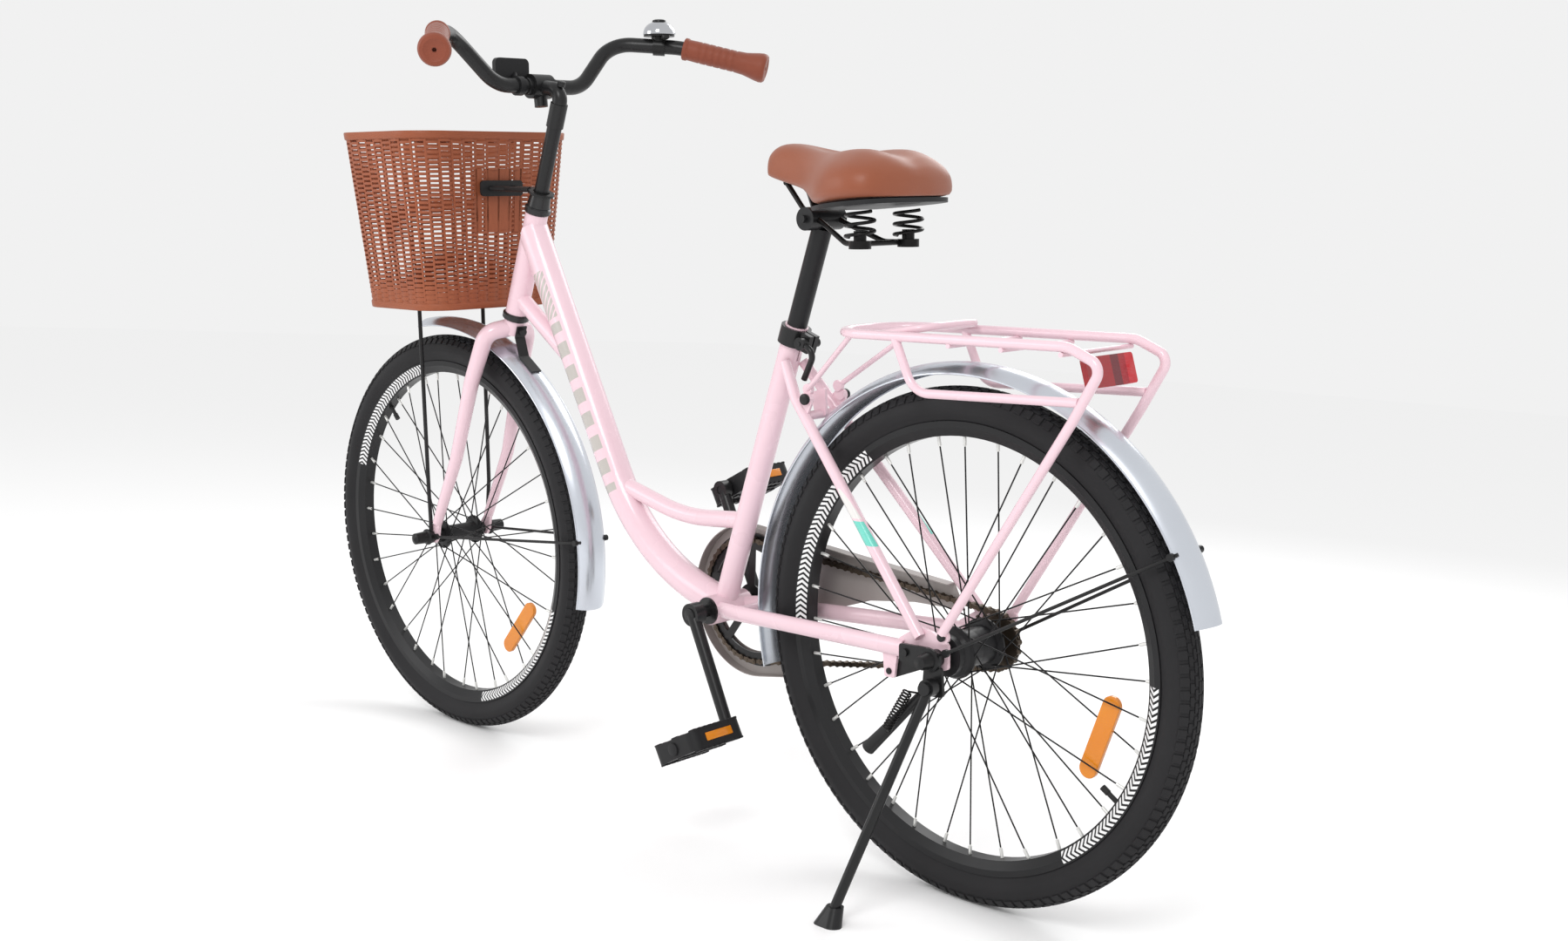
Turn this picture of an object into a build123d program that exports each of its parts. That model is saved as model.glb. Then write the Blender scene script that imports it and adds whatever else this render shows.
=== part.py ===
"""City bicycle with a basket, resting on its side stand.

The bicycle is modelled upright about its own mid-plane: +X forward, +Y left, +Z up, with the rear
axle's centre at zero.  save() then leans every finished piece onto the side stand and moves the
origin to the middle of the footprint, on the floor.  All sizes are in millimetres.
"""
from build123d import *
from math import asin, cos, degrees, pi, radians, sin, sqrt
import os

os.makedirs("parts", exist_ok=True)

# ---------------------------------------------------------------- driving dimensions
LEAN = 5                            # degrees, to the left, onto the stand
FOOTPRINT_CENTRE = (527.34, 65.11)    # middle of the leaned bicycle's footprint, from the rear axle
WHEELBASE = 1073.3

# wheels, for a 26 x 1.95 tyre on a 559 mm bead seat
TYRE_RADIUS = 327.0
TYRE_SECTION = 23.5
TYRE_WALL = 3.0
INNER_TUBE_SECTION = 17.5
RIM_RADIUS = 285.0
RIM_INNER = 266.0
SPOKES = 36
SPOKE_RADIUS = 1.0
VALVE_RADIUS = 4.0
AXLE_RADIUS = 5.0

# chain drive
PITCH = 12.7
RING_TEETH = 44
SPROCKET_TEETH = 18
LINKS = 100
CHAIN_SLOPE = -2.66                 # degrees, from the rear axle down to the bottom bracket
CHAIN_LINE = -51.0
CRANK_LENGTH = 170.0
CRANK_TILT = 29.6                   # degrees, left crank behind straight down

# frame
HEAD_ANGLE = 69.45
HEAD_BOTTOM = (898.2, 0, 372.2)
HEAD_LENGTH = 163.8
HEAD_RADIUS = 17.5
DOWN_TUBE_RADIUS = 23.2
TOP_TUBE_RADIUS = 12.0
SEAT_ANGLE = 70.4
SEAT_TUBE_RADIUS = 15.9
SEAT_TUBE_LENGTH = 430.0
POST_RADIUS = 13.6
SHELL_RADIUS = 20.5
SHELL_HALF = 34.0
CHAINSTAY_RADIUS = 8.5
CHAINSTAY_HEIGHT = 11.0
SEATSTAY_RADIUS = 7.5
DROPOUT_INNER = 57.0
DROPOUT_OUTER = 62.0
TUBE_WALL = 1.6

# mudguards and carrier
GUARD_RADIUS = 357.0
GUARD_HALF = 26.0
GUARD_DROP = 13.0
GUARD_WALL = 1.0
CARRIER_RADIUS = 6.0
CARRIER_HALF = 68.0

# steering
STEERER_RADIUS = 12.7
QUILL_RADIUS = 11.1
BAR_RADIUS = 11.1
RUNNING = 0.05                      # radial clearance of a running fit

# ---------------------------------------------------------------- derived places
lowest_tyre = (TYRE_RADIUS - TYRE_SECTION) * cos(radians(LEAN)) + TYRE_SECTION
STAND = Pos(-FOOTPRINT_CENTRE[0], -FOOTPRINT_CENTRE[1], lowest_tyre) * Rot(-LEAN, 0, 0)

ring_radius = PITCH / (2 * sin(pi / RING_TEETH))
sprocket_radius = PITCH / (2 * sin(pi / SPROCKET_TEETH))


def chain_counts(distance):
    """Pitches in one straight run, over the chainring and over the sprocket."""
    slant = asin((ring_radius - sprocket_radius) / distance)
    run = sqrt(distance ** 2 - (ring_radius - sprocket_radius) ** 2) / PITCH
    return run, RING_TEETH * (0.5 + slant / pi), SPROCKET_TEETH * (0.5 - slant / pi), slant


axle_distance = 435.0
for step in range(8):
    run_count, ring_count, sprocket_count, chain_slant = chain_counts(axle_distance)
    axle_distance += (LINKS - 2 * run_count - ring_count - sprocket_count) * PITCH / 2

chain_tilt = radians(CHAIN_SLOPE)
BRACKET = Vector(axle_distance * cos(chain_tilt), 0, axle_distance * sin(chain_tilt))
FRONT_AXLE = Vector(WHEELBASE, 0, 0)

steer_dir = Vector(-cos(radians(HEAD_ANGLE)), 0, sin(radians(HEAD_ANGLE)))
steer_fore = Vector(sin(radians(HEAD_ANGLE)), 0, cos(radians(HEAD_ANGLE)))
head = Plane(origin=HEAD_BOTTOM, x_dir=steer_fore, z_dir=steer_dir)
seat_dir = Vector(-cos(radians(SEAT_ANGLE)), 0, sin(radians(SEAT_ANGLE)))
seat_fore = Vector(sin(radians(SEAT_ANGLE)), 0, cos(radians(SEAT_ANGLE)))
seat = Plane(origin=(438, 0, -20), x_dir=seat_fore, z_dir=seat_dir)


# ---------------------------------------------------------------- helpers
def pipe(points, radius, bend=None):
    """A round rod along straight runs joined by tangent arcs."""
    with BuildPart() as rod:
        with BuildLine() as route:
            if bend is None:
                Polyline(*points)
            else:
                FilletPolyline(*points, radius=bend)
        with BuildSketch(Plane(origin=route.line @ 0, z_dir=route.line % 0)):
            Circle(radius)
        sweep()
    return rod.part


def oval_pipe(points, half_width, half_height, bend):
    """An upright oval rod along straight runs joined by tangent arcs."""
    with BuildPart() as rod:
        with BuildLine() as route:
            FilletPolyline(*points, radius=bend)
        along = route.line % 0
        across = along.cross(Vector(0, 0, 1)).normalized()
        with BuildSketch(Plane(origin=route.line @ 0, x_dir=across, z_dir=along)):
            Ellipse(half_width, half_height)
        sweep()
    return rod.part


def tapered(points, radius, end_radius, bend=None):
    """A round rod whose radius changes evenly along its route."""
    with BuildPart() as rod:
        with BuildLine() as route:
            if bend is None:
                Line(*points)
            else:
                FilletPolyline(*points, radius=bend)
        with BuildSketch(Plane(origin=route.line @ 0, z_dir=route.line % 0)):
            Circle(radius)
        with BuildSketch(Plane(origin=route.line @ 1, z_dir=route.line % 1)):
            Circle(end_radius)
        sweep(multisection=True)
    return rod.part


def bar(start, end, radius):
    """A round rod between two points."""
    span = Vector(end) - Vector(start)
    with BuildPart() as rod:
        with BuildSketch(Plane(origin=Vector(start), z_dir=span)):
            Circle(radius)
        extrude(amount=span.length)
    return rod.part


def sheet(outline, y_low, y_high, corner=0.0):
    """A flat plate in a plane along the bicycle, between two lateral positions."""
    with BuildPart() as flat:
        with BuildSketch(Plane.XZ.offset(-y_high)) as shape:
            Polygon(*outline, align=None)
            if corner:
                fillet(shape.vertices(), corner)
        extrude(amount=y_high - y_low)
    return flat.part


def disc(centre, radius, y_low, y_high):
    """A short cylinder whose axis runs across the bicycle."""
    middle = Vector(centre)
    return bar((middle.X, y_low, middle.Z), (middle.X, y_high, middle.Z), radius)


def turned(outline, centre):
    """A body turned about the cross axis through centre, from (radius, lateral) points."""
    with BuildPart() as body:
        with BuildSketch(Plane(origin=centre)):
            Polygon(*outline, align=None)
        revolve(axis=Axis(centre, (0, 1, 0)))
    return body.part


def on_steering(forward, across, up):
    """A point given along the steering axis, from the head tube's lower end."""
    return Vector(HEAD_BOTTOM) + steer_fore * forward + Vector(0, across, 0) + steer_dir * up


def around(centre, radius, angle, y=0.0):
    """A point round a cross axis; the angle starts forward and rises."""
    return Vector(centre.X + radius * cos(radians(angle)), y, centre.Z + radius * sin(radians(angle)))


def mirrored(point):
    """The same point on the bicycle's other side."""
    return Vector(point.X, -point.Y, point.Z)


def both_sides(points):
    """A left-hand route and its right-hand twin."""
    left = [Vector(point) for point in points]
    return left, [mirrored(point) for point in left]


def save(piece, name):
    """Labels a finished piece and writes it as it stands on the floor."""
    piece.part.label = name
    export_step(piece.part.moved(STAND), f"parts/{name}.step")


# ---------------------------------------------------------------- frame tubes
head_envelope = bar(on_steering(0, 0, 0), on_steering(0, 0, HEAD_LENGTH), HEAD_RADIUS)
DOWN_ROUTE = [(852, 0, 502), (608.8, 0, 33.1), BRACKET]
down_envelope = pipe(DOWN_ROUTE, DOWN_TUBE_RADIUS, 300)
seat_envelope = bar(seat.origin, seat.origin + seat_dir * SEAT_TUBE_LENGTH, SEAT_TUBE_RADIUS)
shell_envelope = disc(BRACKET, SHELL_RADIUS, -SHELL_HALF, SHELL_HALF)
steerer_void = bar(on_steering(0, 0, -5), on_steering(0, 0, HEAD_LENGTH + 5), HEAD_RADIUS - 2.3)

GUSSET_ROUTE = [(889, 0, 397), (770, 0, 312)]
down_way = Vector(DOWN_ROUTE[0]) - Vector(DOWN_ROUTE[1])
with BuildPart() as head_tube:
    add(pipe(GUSSET_ROUTE, 13))
    add(down_envelope, mode=Mode.SUBTRACT)
    split(bisect_by=Plane(GUSSET_ROUTE[1], x_dir=(0, 1, 0), z_dir=-down_way.cross(Vector(0, 1, 0))),
          keep=Keep.BOTTOM)
    add(head_envelope)
    add(steerer_void, mode=Mode.SUBTRACT)

with BuildPart() as bottom_bracket_shell:
    add(shell_envelope)
    add(disc(BRACKET, SHELL_RADIUS - 3, -SHELL_HALF, SHELL_HALF), mode=Mode.SUBTRACT)

with BuildPart() as down_tube:
    add(down_envelope)
    add(pipe(DOWN_ROUTE, DOWN_TUBE_RADIUS - TUBE_WALL, 300), mode=Mode.SUBTRACT)
    add(head_envelope, mode=Mode.SUBTRACT)
    add(shell_envelope, mode=Mode.SUBTRACT)
    split(bisect_by=Plane(head.origin, x_dir=(0, 1, 0), z_dir=-steer_fore), keep=Keep.TOP)

with BuildPart() as seat_tube:
    add(seat_envelope)
    with BuildSketch(seat):
        Circle(POST_RADIUS + RUNNING)
    extrude(amount=SEAT_TUBE_LENGTH, mode=Mode.SUBTRACT)
    add(shell_envelope, mode=Mode.SUBTRACT)
    add(down_envelope, mode=Mode.SUBTRACT)
    with BuildSketch(seat.offset(SEAT_TUBE_LENGTH)):
        with Locations((-SEAT_TUBE_RADIUS, 0)):
            Rectangle(12, 2.5)
    extrude(amount=-45, mode=Mode.SUBTRACT)

TOP_ROUTE = [(668, 0, 134), (516, 0, 98), (385, 0, 110)]
with BuildPart() as top_tube:
    add(pipe(TOP_ROUTE, TOP_TUBE_RADIUS, 300))
    add(pipe(TOP_ROUTE, TOP_TUBE_RADIUS - TUBE_WALL, 300), mode=Mode.SUBTRACT)
    add(down_envelope, mode=Mode.SUBTRACT)
    add(seat_envelope, mode=Mode.SUBTRACT)

CHAINSTAY_ROUTE = [(430, 20, -19), (396, 33, -15), (52, 62, 2)]
DROPOUT = [(-16, -14), (-16, 18), (8, 30), (30, 34), (62, 14), (62, -10), (20, -16)]
dropouts = [sheet(DROPOUT, DROPOUT_INNER, DROPOUT_OUTER, 5),
            sheet(DROPOUT, -DROPOUT_OUTER, -DROPOUT_INNER, 5)]
with BuildPart() as chainstays:
    for route in both_sides(CHAINSTAY_ROUTE):
        add(oval_pipe(route, CHAINSTAY_RADIUS, CHAINSTAY_HEIGHT, 60))
    for route in both_sides(CHAINSTAY_ROUTE):
        add(oval_pipe(route, CHAINSTAY_RADIUS - TUBE_WALL, CHAINSTAY_HEIGHT - TUBE_WALL, 60),
            mode=Mode.SUBTRACT)
    add(bar((384, -40, -14.5), (384, 40, -14.5), 6.5))
    for plate in dropouts:
        add(plate)
    add(sheet([(64, 0), (90, 0), (86, -40), (70, -40)], DROPOUT_INNER, DROPOUT_INNER + 4, 3))
    add(shell_envelope, mode=Mode.SUBTRACT)
    for low, high in ((SHELL_HALF, SHELL_HALF + 4), (-SHELL_HALF - 4, -SHELL_HALF)):
        add(disc(BRACKET, SHELL_RADIUS, low, high), mode=Mode.SUBTRACT)
    add(disc((0, 0, 0), AXLE_RADIUS, -70, 70), mode=Mode.SUBTRACT)
    add(disc((78, 0, -32), 2.6, 40, 70), mode=Mode.SUBTRACT)

STAY_TAB = [(264, 288), (246, 268), (236, 288), (238, 301), (252, 301)]
SEATSTAY_ROUTE = [(299, 17, 336), (268, 30, 292), (24, 66, 22)]
with BuildPart() as seatstays:
    for route in both_sides(SEATSTAY_ROUTE):
        add(pipe(route, SEATSTAY_RADIUS, 60))
    for route in both_sides(SEATSTAY_ROUTE):
        add(pipe(route, SEATSTAY_RADIUS - TUBE_WALL, 60), mode=Mode.SUBTRACT)
    add(bar((249, -34, 271), (249, 34, 271), 6))
    add(sheet([(240, 270), (260, 270), (268, 298), (242, 306)], -2, 2, 2))
    for side in (1, -1):
        add(bar((243.5, side * 28, 294), (243.5, side * 38, 294), 7))
        add(sheet(STAY_TAB, min(side * 31, side * 34.5), max(side * 31, side * 34.5), 2))
    add(seat_envelope, mode=Mode.SUBTRACT)
    for plate in dropouts:
        add(plate, mode=Mode.SUBTRACT)
    add(chainstays.part, mode=Mode.SUBTRACT)

for piece, name in [(head_tube, "head_tube"), (bottom_bracket_shell, "bottom_bracket_shell"),
                    (down_tube, "down_tube"), (seat_tube, "seat_tube"),
                    (top_tube, "top_tube"), (chainstays, "chainstays"), (seatstays, "seatstays")]:
    save(piece, name)

# ---------------------------------------------------------------- wheels
AXLES = {"rear": Vector(0, 0, 0), "front": FRONT_AXLE}
FIRST_SPOKE = {"rear": 8.187, "front": 1.312}       # degrees, where the first nipple stands
VALVE_ANGLE = {"rear": 213.187, "front": 46.312}
REFLECTOR_ANGLE = {"rear": -160.0, "front": -139.5}
FLANGE_Y = {"rear": 29.0, "front": 31.0}
HOLE_RADIUS = {"rear": 29.0, "front": 19.0}
NIPPLE_TOP = RIM_INNER - 0.1
CROSSING = 60                       # degrees between a spoke's rim hole and its flange hole
FLANGE_THICK = 2.6

HUB_OUTLINE = {
    "front": [(AXLE_RADIUS + RUNNING, -44), (12, -44), (12, -34), (23, -32.3), (23, -29.7), (15, -27),
              (13, -20), (13, 20), (15, 27), (23, 29.7), (23, 32.3), (12, 34), (12, 44),
              (AXLE_RADIUS + RUNNING, 44)],
    "rear": [(AXLE_RADIUS + RUNNING, -33), (20, -33), (33, -30.3), (33, -27.7), (25, -25), (23, 0),
             (25, 25), (33, 27.7), (33, 30.3), (30, 36), (26, 40), (26, 50), (AXLE_RADIUS + RUNNING, 50)]}
section_ring = TYRE_RADIUS - TYRE_SECTION
RIM_PROFILE = [(RIM_RADIUS, 16), (RIM_RADIUS, 13.2), (279, 13), (275, 9.5), (275, -9.5), (279, -13),
               (RIM_RADIUS, -13.2), (RIM_RADIUS, -16), (277, -15.6), (RIM_INNER, -9), (RIM_INNER, 9),
               (277, 15.6)]
RIM_CAVITY = [(272.8, 9.5), (276.5, 12.9), (276, 14), (268.4, 8.4), (268.4, -8.4), (276, -14),
              (276.5, -12.9), (272.8, -9.5)]


def spoke_ends(end, index):
    """A spoke's flange end and rim end, about the wheel's own centre."""
    side = 1 if index % 2 == 0 else -1
    turn = 1 if index % 4 < 2 else -1
    rim_angle = FIRST_SPOKE[end] + index * 360 / SPOKES
    face = side * FLANGE_Y[end] + turn * (FLANGE_THICK / 2 + SPOKE_RADIUS + 0.05)
    start = around(AXLES[end], HOLE_RADIUS[end], rim_angle + turn * CROSSING, face)
    return start, around(AXLES[end], NIPPLE_TOP, rim_angle, side * 3)


for end, axle in AXLES.items():
    valve_start = around(axle, 240, VALVE_ANGLE[end])
    valve_stop = around(axle, section_ring - 12, VALVE_ANGLE[end])
    spin = Axis(axle, (0, 1, 0))

    with BuildPart() as tyre:
        with BuildSketch(Plane(origin=axle)):
            with Locations((section_ring, 0)):
                Circle(TYRE_SECTION)
                Circle(TYRE_SECTION - TYRE_WALL, mode=Mode.SUBTRACT)
            with Locations((RIM_RADIUS + 0.2 - 20, 0)):
                Rectangle(40, 60, mode=Mode.SUBTRACT)
            for side in (1, -1):
                with Locations((284, side * 11.4)):
                    Rectangle(8.5, 3.2)
        revolve(axis=spin)
    save(tyre, f"{end}_tyre")

    with BuildPart() as inner_tube:
        with BuildSketch(Plane(origin=axle)):
            with Locations((section_ring, 0)):
                Circle(INNER_TUBE_SECTION)
                Circle(INNER_TUBE_SECTION - 1.2, mode=Mode.SUBTRACT)
            with Locations((section_ring - INNER_TUBE_SECTION, 0)):
                Rectangle(4, 0.6, mode=Mode.SUBTRACT)
        revolve(axis=spin)
        add(bar(valve_start, valve_stop, VALVE_RADIUS - 0.9))
        add(bar(valve_start, around(axle, 250, VALVE_ANGLE[end]), VALVE_RADIUS))
    save(inner_tube, f"{end}_inner_tube")

    with BuildPart() as rim:
        with BuildSketch(Plane(origin=axle)):
            Polygon(*RIM_PROFILE, align=None)
            Polygon(*RIM_CAVITY, align=None, mode=Mode.SUBTRACT)
        revolve(axis=spin)
        add(bar(valve_start, valve_stop, VALVE_RADIUS), mode=Mode.SUBTRACT)
    save(rim, f"{end}_rim")

    with BuildPart() as hub:
        add(turned(HUB_OUTLINE[end], axle))
    save(hub, f"{end}_hub")

    with BuildPart() as spokes:
        for index in range(SPOKES):
            start, stop = spoke_ends(end, index)
            neck = stop + (start - stop).normalized() * 12
            add(bar(start, neck, SPOKE_RADIUS))
            add(bar(neck, stop, 2.2))
        add(hub.part, mode=Mode.SUBTRACT)
        add(rim.part, mode=Mode.SUBTRACT)
    save(spokes, f"{end}_spokes")

    with BuildPart() as wheel_reflector:
        centre = around(axle, 209, REFLECTOR_ANGLE[end])
        outward = around(axle, 210, REFLECTOR_ANGLE[end]) - centre
        with BuildSketch(Plane(origin=centre, x_dir=outward.cross(Vector(0, 1, 0)), z_dir=(0, 1, 0))):
            SlotOverall(112, 24)
        extrude(amount=3.4, both=True)
        fillet(wheel_reflector.edges().filter_by(GeomType.CIRCLE), 1.2)
    save(wheel_reflector, f"{end}_wheel_reflector")

with BuildPart() as rear_axle:
    add(disc((0, 0, 0), AXLE_RADIUS, -86, 96))
    add(turned([(AXLE_RADIUS, 50.4), (12, 50.4), (12, 52), (AXLE_RADIUS, 52)], Vector(0, 0, 0)))
    add(turned([(0, 75.8), (15, 75.8), (15, 79), (11, 80), (8, 97), (0, 99)], Vector(0, 0, 0)))
    add(turned([(0, -62.3), (15, -62.3), (15, -65), (11, -66), (8, -88), (0, -90)], Vector(0, 0, 0)))
save(rear_axle, "rear_axle")

# ---------------------------------------------------------------- chain drive
drive_dir = Vector(cos(chain_tilt), 0, sin(chain_tilt))
drive_up = Vector(-sin(chain_tilt), 0, cos(chain_tilt))
ROLLER_RADIUS = 3.9
PIN_RADIUS = 1.8


def chain_point(step):
    """The centre of the pin that lies so many pitches along the chain, from the sprocket's top."""
    slant = chain_slant
    top_angle = pi / 2 + slant
    if step < run_count:
        base, angle, radius, along = Vector(), top_angle, sprocket_radius, step * PITCH
        shift = drive_dir * (along * cos(slant)) + drive_up * (along * sin(slant))
    elif step < run_count + ring_count:
        base, radius, shift = drive_dir * axle_distance, ring_radius, Vector()
        angle = top_angle - (step - run_count) * 2 * pi / RING_TEETH
    elif step < 2 * run_count + ring_count:
        along = (step - run_count - ring_count) * PITCH
        base, angle, radius = drive_dir * axle_distance, -top_angle, ring_radius
        shift = drive_dir * (-along * cos(slant)) + drive_up * (along * sin(slant))
    else:
        base, radius, shift = Vector(), sprocket_radius, Vector()
        angle = -top_angle - (step - 2 * run_count - ring_count) * 2 * pi / SPROCKET_TEETH
    spot = base + (drive_dir * cos(angle) + drive_up * sin(angle)) * radius + shift
    return Vector(spot.X, CHAIN_LINE, spot.Z)


ring_start = int(run_count) + 1
sprocket_start = int(2 * run_count + ring_count) + 1
pins = [chain_point(index) for index in range(LINKS)]


def link_seats(first):
    """Where every second link lies, as locations at its middle, along the chain."""
    seats = []
    for index in range(first, LINKS, 2):
        start, stop = pins[index], pins[(index + 1) % LINKS]
        seats.append(Location(Plane(origin=(start + stop) / 2, x_dir=stop - start, z_dir=(0, -1, 0))))
    return seats


def link_plates(inner, outer, half, hole):
    """The two waisted side plates of a link."""
    with BuildPart() as plates:
        for low in (inner, -outer):
            with BuildSketch(Plane.XY.offset(low)):
                for spot in (-PITCH / 2, PITCH / 2):
                    with Locations((spot, 0)):
                        Circle(half)
                Rectangle(PITCH, half * 1.3)
                if hole:
                    with Locations((-PITCH / 2, 0), (PITCH / 2, 0)):
                        Circle(hole, mode=Mode.SUBTRACT)
            extrude(amount=outer - inner)
    return plates.part


def outer_link():
    """Two plates riveted together by two pins."""
    with BuildPart() as link:
        add(link_plates(3.3, 4.3, 4.1, 0))
        with BuildSketch(Plane.XY.offset(-4.8)):
            with Locations((-PITCH / 2, 0), (PITCH / 2, 0)):
                Circle(PIN_RADIUS)
        extrude(amount=9.6)
    return link.part


def inner_link():
    """Two plates joined by two bushes with their rollers."""
    with BuildPart() as link:
        add(link_plates(2.1, 3.1, 4.1, PIN_RADIUS + 0.06))
        with BuildSketch(Plane.XY.offset(-2.1)):
            with Locations((-PITCH / 2, 0), (PITCH / 2, 0)):
                Circle(ROLLER_RADIUS)
                Circle(PIN_RADIUS + 0.06, mode=Mode.SUBTRACT)
        extrude(amount=4.2)
    return link.part


outer_solid, inner_solid = outer_link(), inner_link()
with BuildPart() as chain:
    with Locations(*link_seats(0)):
        add(outer_solid)
    with Locations(*link_seats(1)):
        add(inner_solid)
save(chain, "chain")


def toothed_disc(centre, radius, teeth, seat_point, thickness):
    """A sprocket plate with seats for the rollers, the first one at seat_point."""
    reach = seat_point - Vector(centre.X, CHAIN_LINE, centre.Z)
    face = Plane(origin=(centre.X, CHAIN_LINE, centre.Z), x_dir=reach, z_dir=(0, -1, 0))
    with BuildPart() as plate:
        with BuildSketch(face):
            Circle(radius + 2.6)
            with PolarLocations(0, teeth):
                with Locations((radius, 0)):
                    Circle(ROLLER_RADIUS + 0.2, mode=Mode.SUBTRACT)
                    Polygon((0, 4.1), (5, 6.2), (5, -6.2), (0, -4.1), align=None, mode=Mode.SUBTRACT)
        extrude(amount=thickness / 2, both=True)
    return plate.part


with BuildPart() as chainring:
    add(toothed_disc(BRACKET, ring_radius, RING_TEETH, pins[ring_start], 2.4))
    add(disc(BRACKET, 76, -60, -40), mode=Mode.SUBTRACT)
    for index in range(5):
        add(bar(BRACKET + Vector(0, CHAIN_LINE, 0), around(BRACKET, 79, index * 72 + 20, CHAIN_LINE), 6))
    add(disc(BRACKET, 120, CHAIN_LINE + 1.2, CHAIN_LINE + 20), mode=Mode.SUBTRACT)
    add(disc(BRACKET, 120, CHAIN_LINE - 20, CHAIN_LINE - 1.2), mode=Mode.SUBTRACT)
    add(disc(BRACKET, 24, CHAIN_LINE - 1.2, CHAIN_LINE + 1.2))
    add(turned([(84, CHAIN_LINE - 6.4), (97, CHAIN_LINE - 6.4), (97, CHAIN_LINE - 5.3),
                (84, CHAIN_LINE - 5.3)], BRACKET))
    for index in range(5):
        add(disc(around(BRACKET, 80.5, index * 72 + 20), 3, CHAIN_LINE - 5.4, CHAIN_LINE - 1.0))
        add(disc(around(BRACKET, 85, index * 72 + 20), 3.4, CHAIN_LINE - 6.4, CHAIN_LINE - 5.3))
    add(disc(BRACKET, 12, -60, -40), mode=Mode.SUBTRACT)
save(chainring, "chainring")

with BuildPart() as rear_sprocket:
    add(toothed_disc(Vector(0, 0, 0), sprocket_radius, SPROCKET_TEETH, pins[sprocket_start], 2.4))
    add(disc((0, 0, 0), 17, -54, -34))
    add(disc((0, 0, 0), AXLE_RADIUS + RUNNING, -60, -30), mode=Mode.SUBTRACT)
save(rear_sprocket, "rear_sprocket")

# ---------------------------------------------------------------- cranks and pedals
SPINDLE_RADIUS = 8.5
with BuildPart() as bearing_cups:
    for side in (1, -1):
        outline = [(SPINDLE_RADIUS + RUNNING, 26), (17.4, 26), (17.4, 34.1), (19, 34.1), (19, 37),
                   (SPINDLE_RADIUS + RUNNING, 37)]
        add(turned([(radius, side * across) for radius, across in outline], BRACKET))
save(bearing_cups, "bearing_cups")

with BuildPart() as crank_spindle:
    add(disc(BRACKET, SPINDLE_RADIUS, -68, 68))
save(crank_spindle, "crank_spindle")

crank_angle = -90 - CRANK_TILT
for name, angle, sign in (("left", crank_angle, 1), ("right", crank_angle + 180, -1)):
    tip = around(BRACKET, CRANK_LENGTH, angle, sign * 77)
    with BuildPart() as crank:
        add(tapered([around(BRACKET, 0, angle, sign * 64), tip], 9, 8.5))
        add(disc(BRACKET, 16, min(sign * 53, sign * 70), max(sign * 53, sign * 70)))
        add(disc(tip, 13, min(sign * 70, sign * 84), max(sign * 70, sign * 84)))
        add(disc(BRACKET, 12, min(sign * 49, sign * 54), max(sign * 49, sign * 54)))
        add(disc(BRACKET, SPINDLE_RADIUS, -68, 68), mode=Mode.SUBTRACT)
        add(disc(tip, 6 + RUNNING, min(sign * 60, sign * 95), max(sign * 60, sign * 95)),
            mode=Mode.SUBTRACT)
    save(crank, f"crank_{name}")

PEDAL_TILT = -28
for name, angle, sign in (("left", crank_angle, 1), ("right", crank_angle + 180, -1)):
    centre = around(BRACKET, CRANK_LENGTH, angle, 0)
    tread = Vector(cos(radians(PEDAL_TILT)), 0, sin(radians(PEDAL_TILT)))
    rise = Vector(-tread.Z, 0, tread.X)
    with BuildPart() as pedal:
        with BuildSketch(Plane(origin=centre + Vector(0, sign * 134, 0), x_dir=tread, z_dir=rise)):
            RectangleRounded(88, 92, 14)
            for shift in (-24, 24):
                with Locations((shift, 0)):
                    RectangleRounded(22, 70, 5, mode=Mode.SUBTRACT)
        extrude(amount=13, both=True)
        add(disc(centre, 6, min(sign * 71, sign * 178), max(sign * 71, sign * 178)))
    save(pedal, f"pedal_{name}")

# ---------------------------------------------------------------- rear carrier
CARRIER_LOOP = [(-14, CARRIER_HALF + 3, 34), (-194, CARRIER_HALF, 308), (-232, CARRIER_HALF, 372),
                (-186, CARRIER_HALF, 391), (178, CARRIER_HALF, 387), (178, -CARRIER_HALF, 387),
                (-186, -CARRIER_HALF, 391), (-232, -CARRIER_HALF, 372), (-194, -CARRIER_HALF, 308),
                (-14, -CARRIER_HALF - 3, 34)]
CARRIER_BENDS = [160, 14, 38, 55, 55, 38, 14, 160]
SIDE_RAIL = [(66, CARRIER_HALF, 387), (36, CARRIER_HALF, 322), (-202, CARRIER_HALF, 330)]
HOOP = [(96, CARRIER_HALF, 388), (30, CARRIER_HALF - 16, 400), (30, 16 - CARRIER_HALF, 400),
        (96, -CARRIER_HALF, 388)]
CROSS_RODS = (-18, -95, -178)
STRUT_FOOT = (246, 30, 306)
with BuildPart() as rear_carrier:
    add(pipe(CARRIER_LOOP, CARRIER_RADIUS, CARRIER_BENDS))
    for route in both_sides(SIDE_RAIL):
        add(pipe(route, CARRIER_RADIUS - 0.5, 34))
    add(pipe(HOOP, CARRIER_RADIUS - 1, 28))
    for forward in CROSS_RODS:
        add(bar((forward, -CARRIER_HALF - 3, 382), (forward, CARRIER_HALF + 3, 382), 3))
    for side in (1, -1):
        add(disc((-14, 0, 30), 9, min(side * 66, side * 70), max(side * 66, side * 70)))
    for side in (1, -1):
        foot = Vector(STRUT_FOOT[0], side * STRUT_FOOT[1], STRUT_FOOT[2])
        add(bar(foot, (143, side * 62, 384), 3.6))
        add(bar(foot - Vector(0, side * 4, 0), foot + Vector(0, side * 2, 0), 7.5))
    add(seatstays.part, mode=Mode.SUBTRACT)
save(rear_carrier, "rear_carrier")

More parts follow.
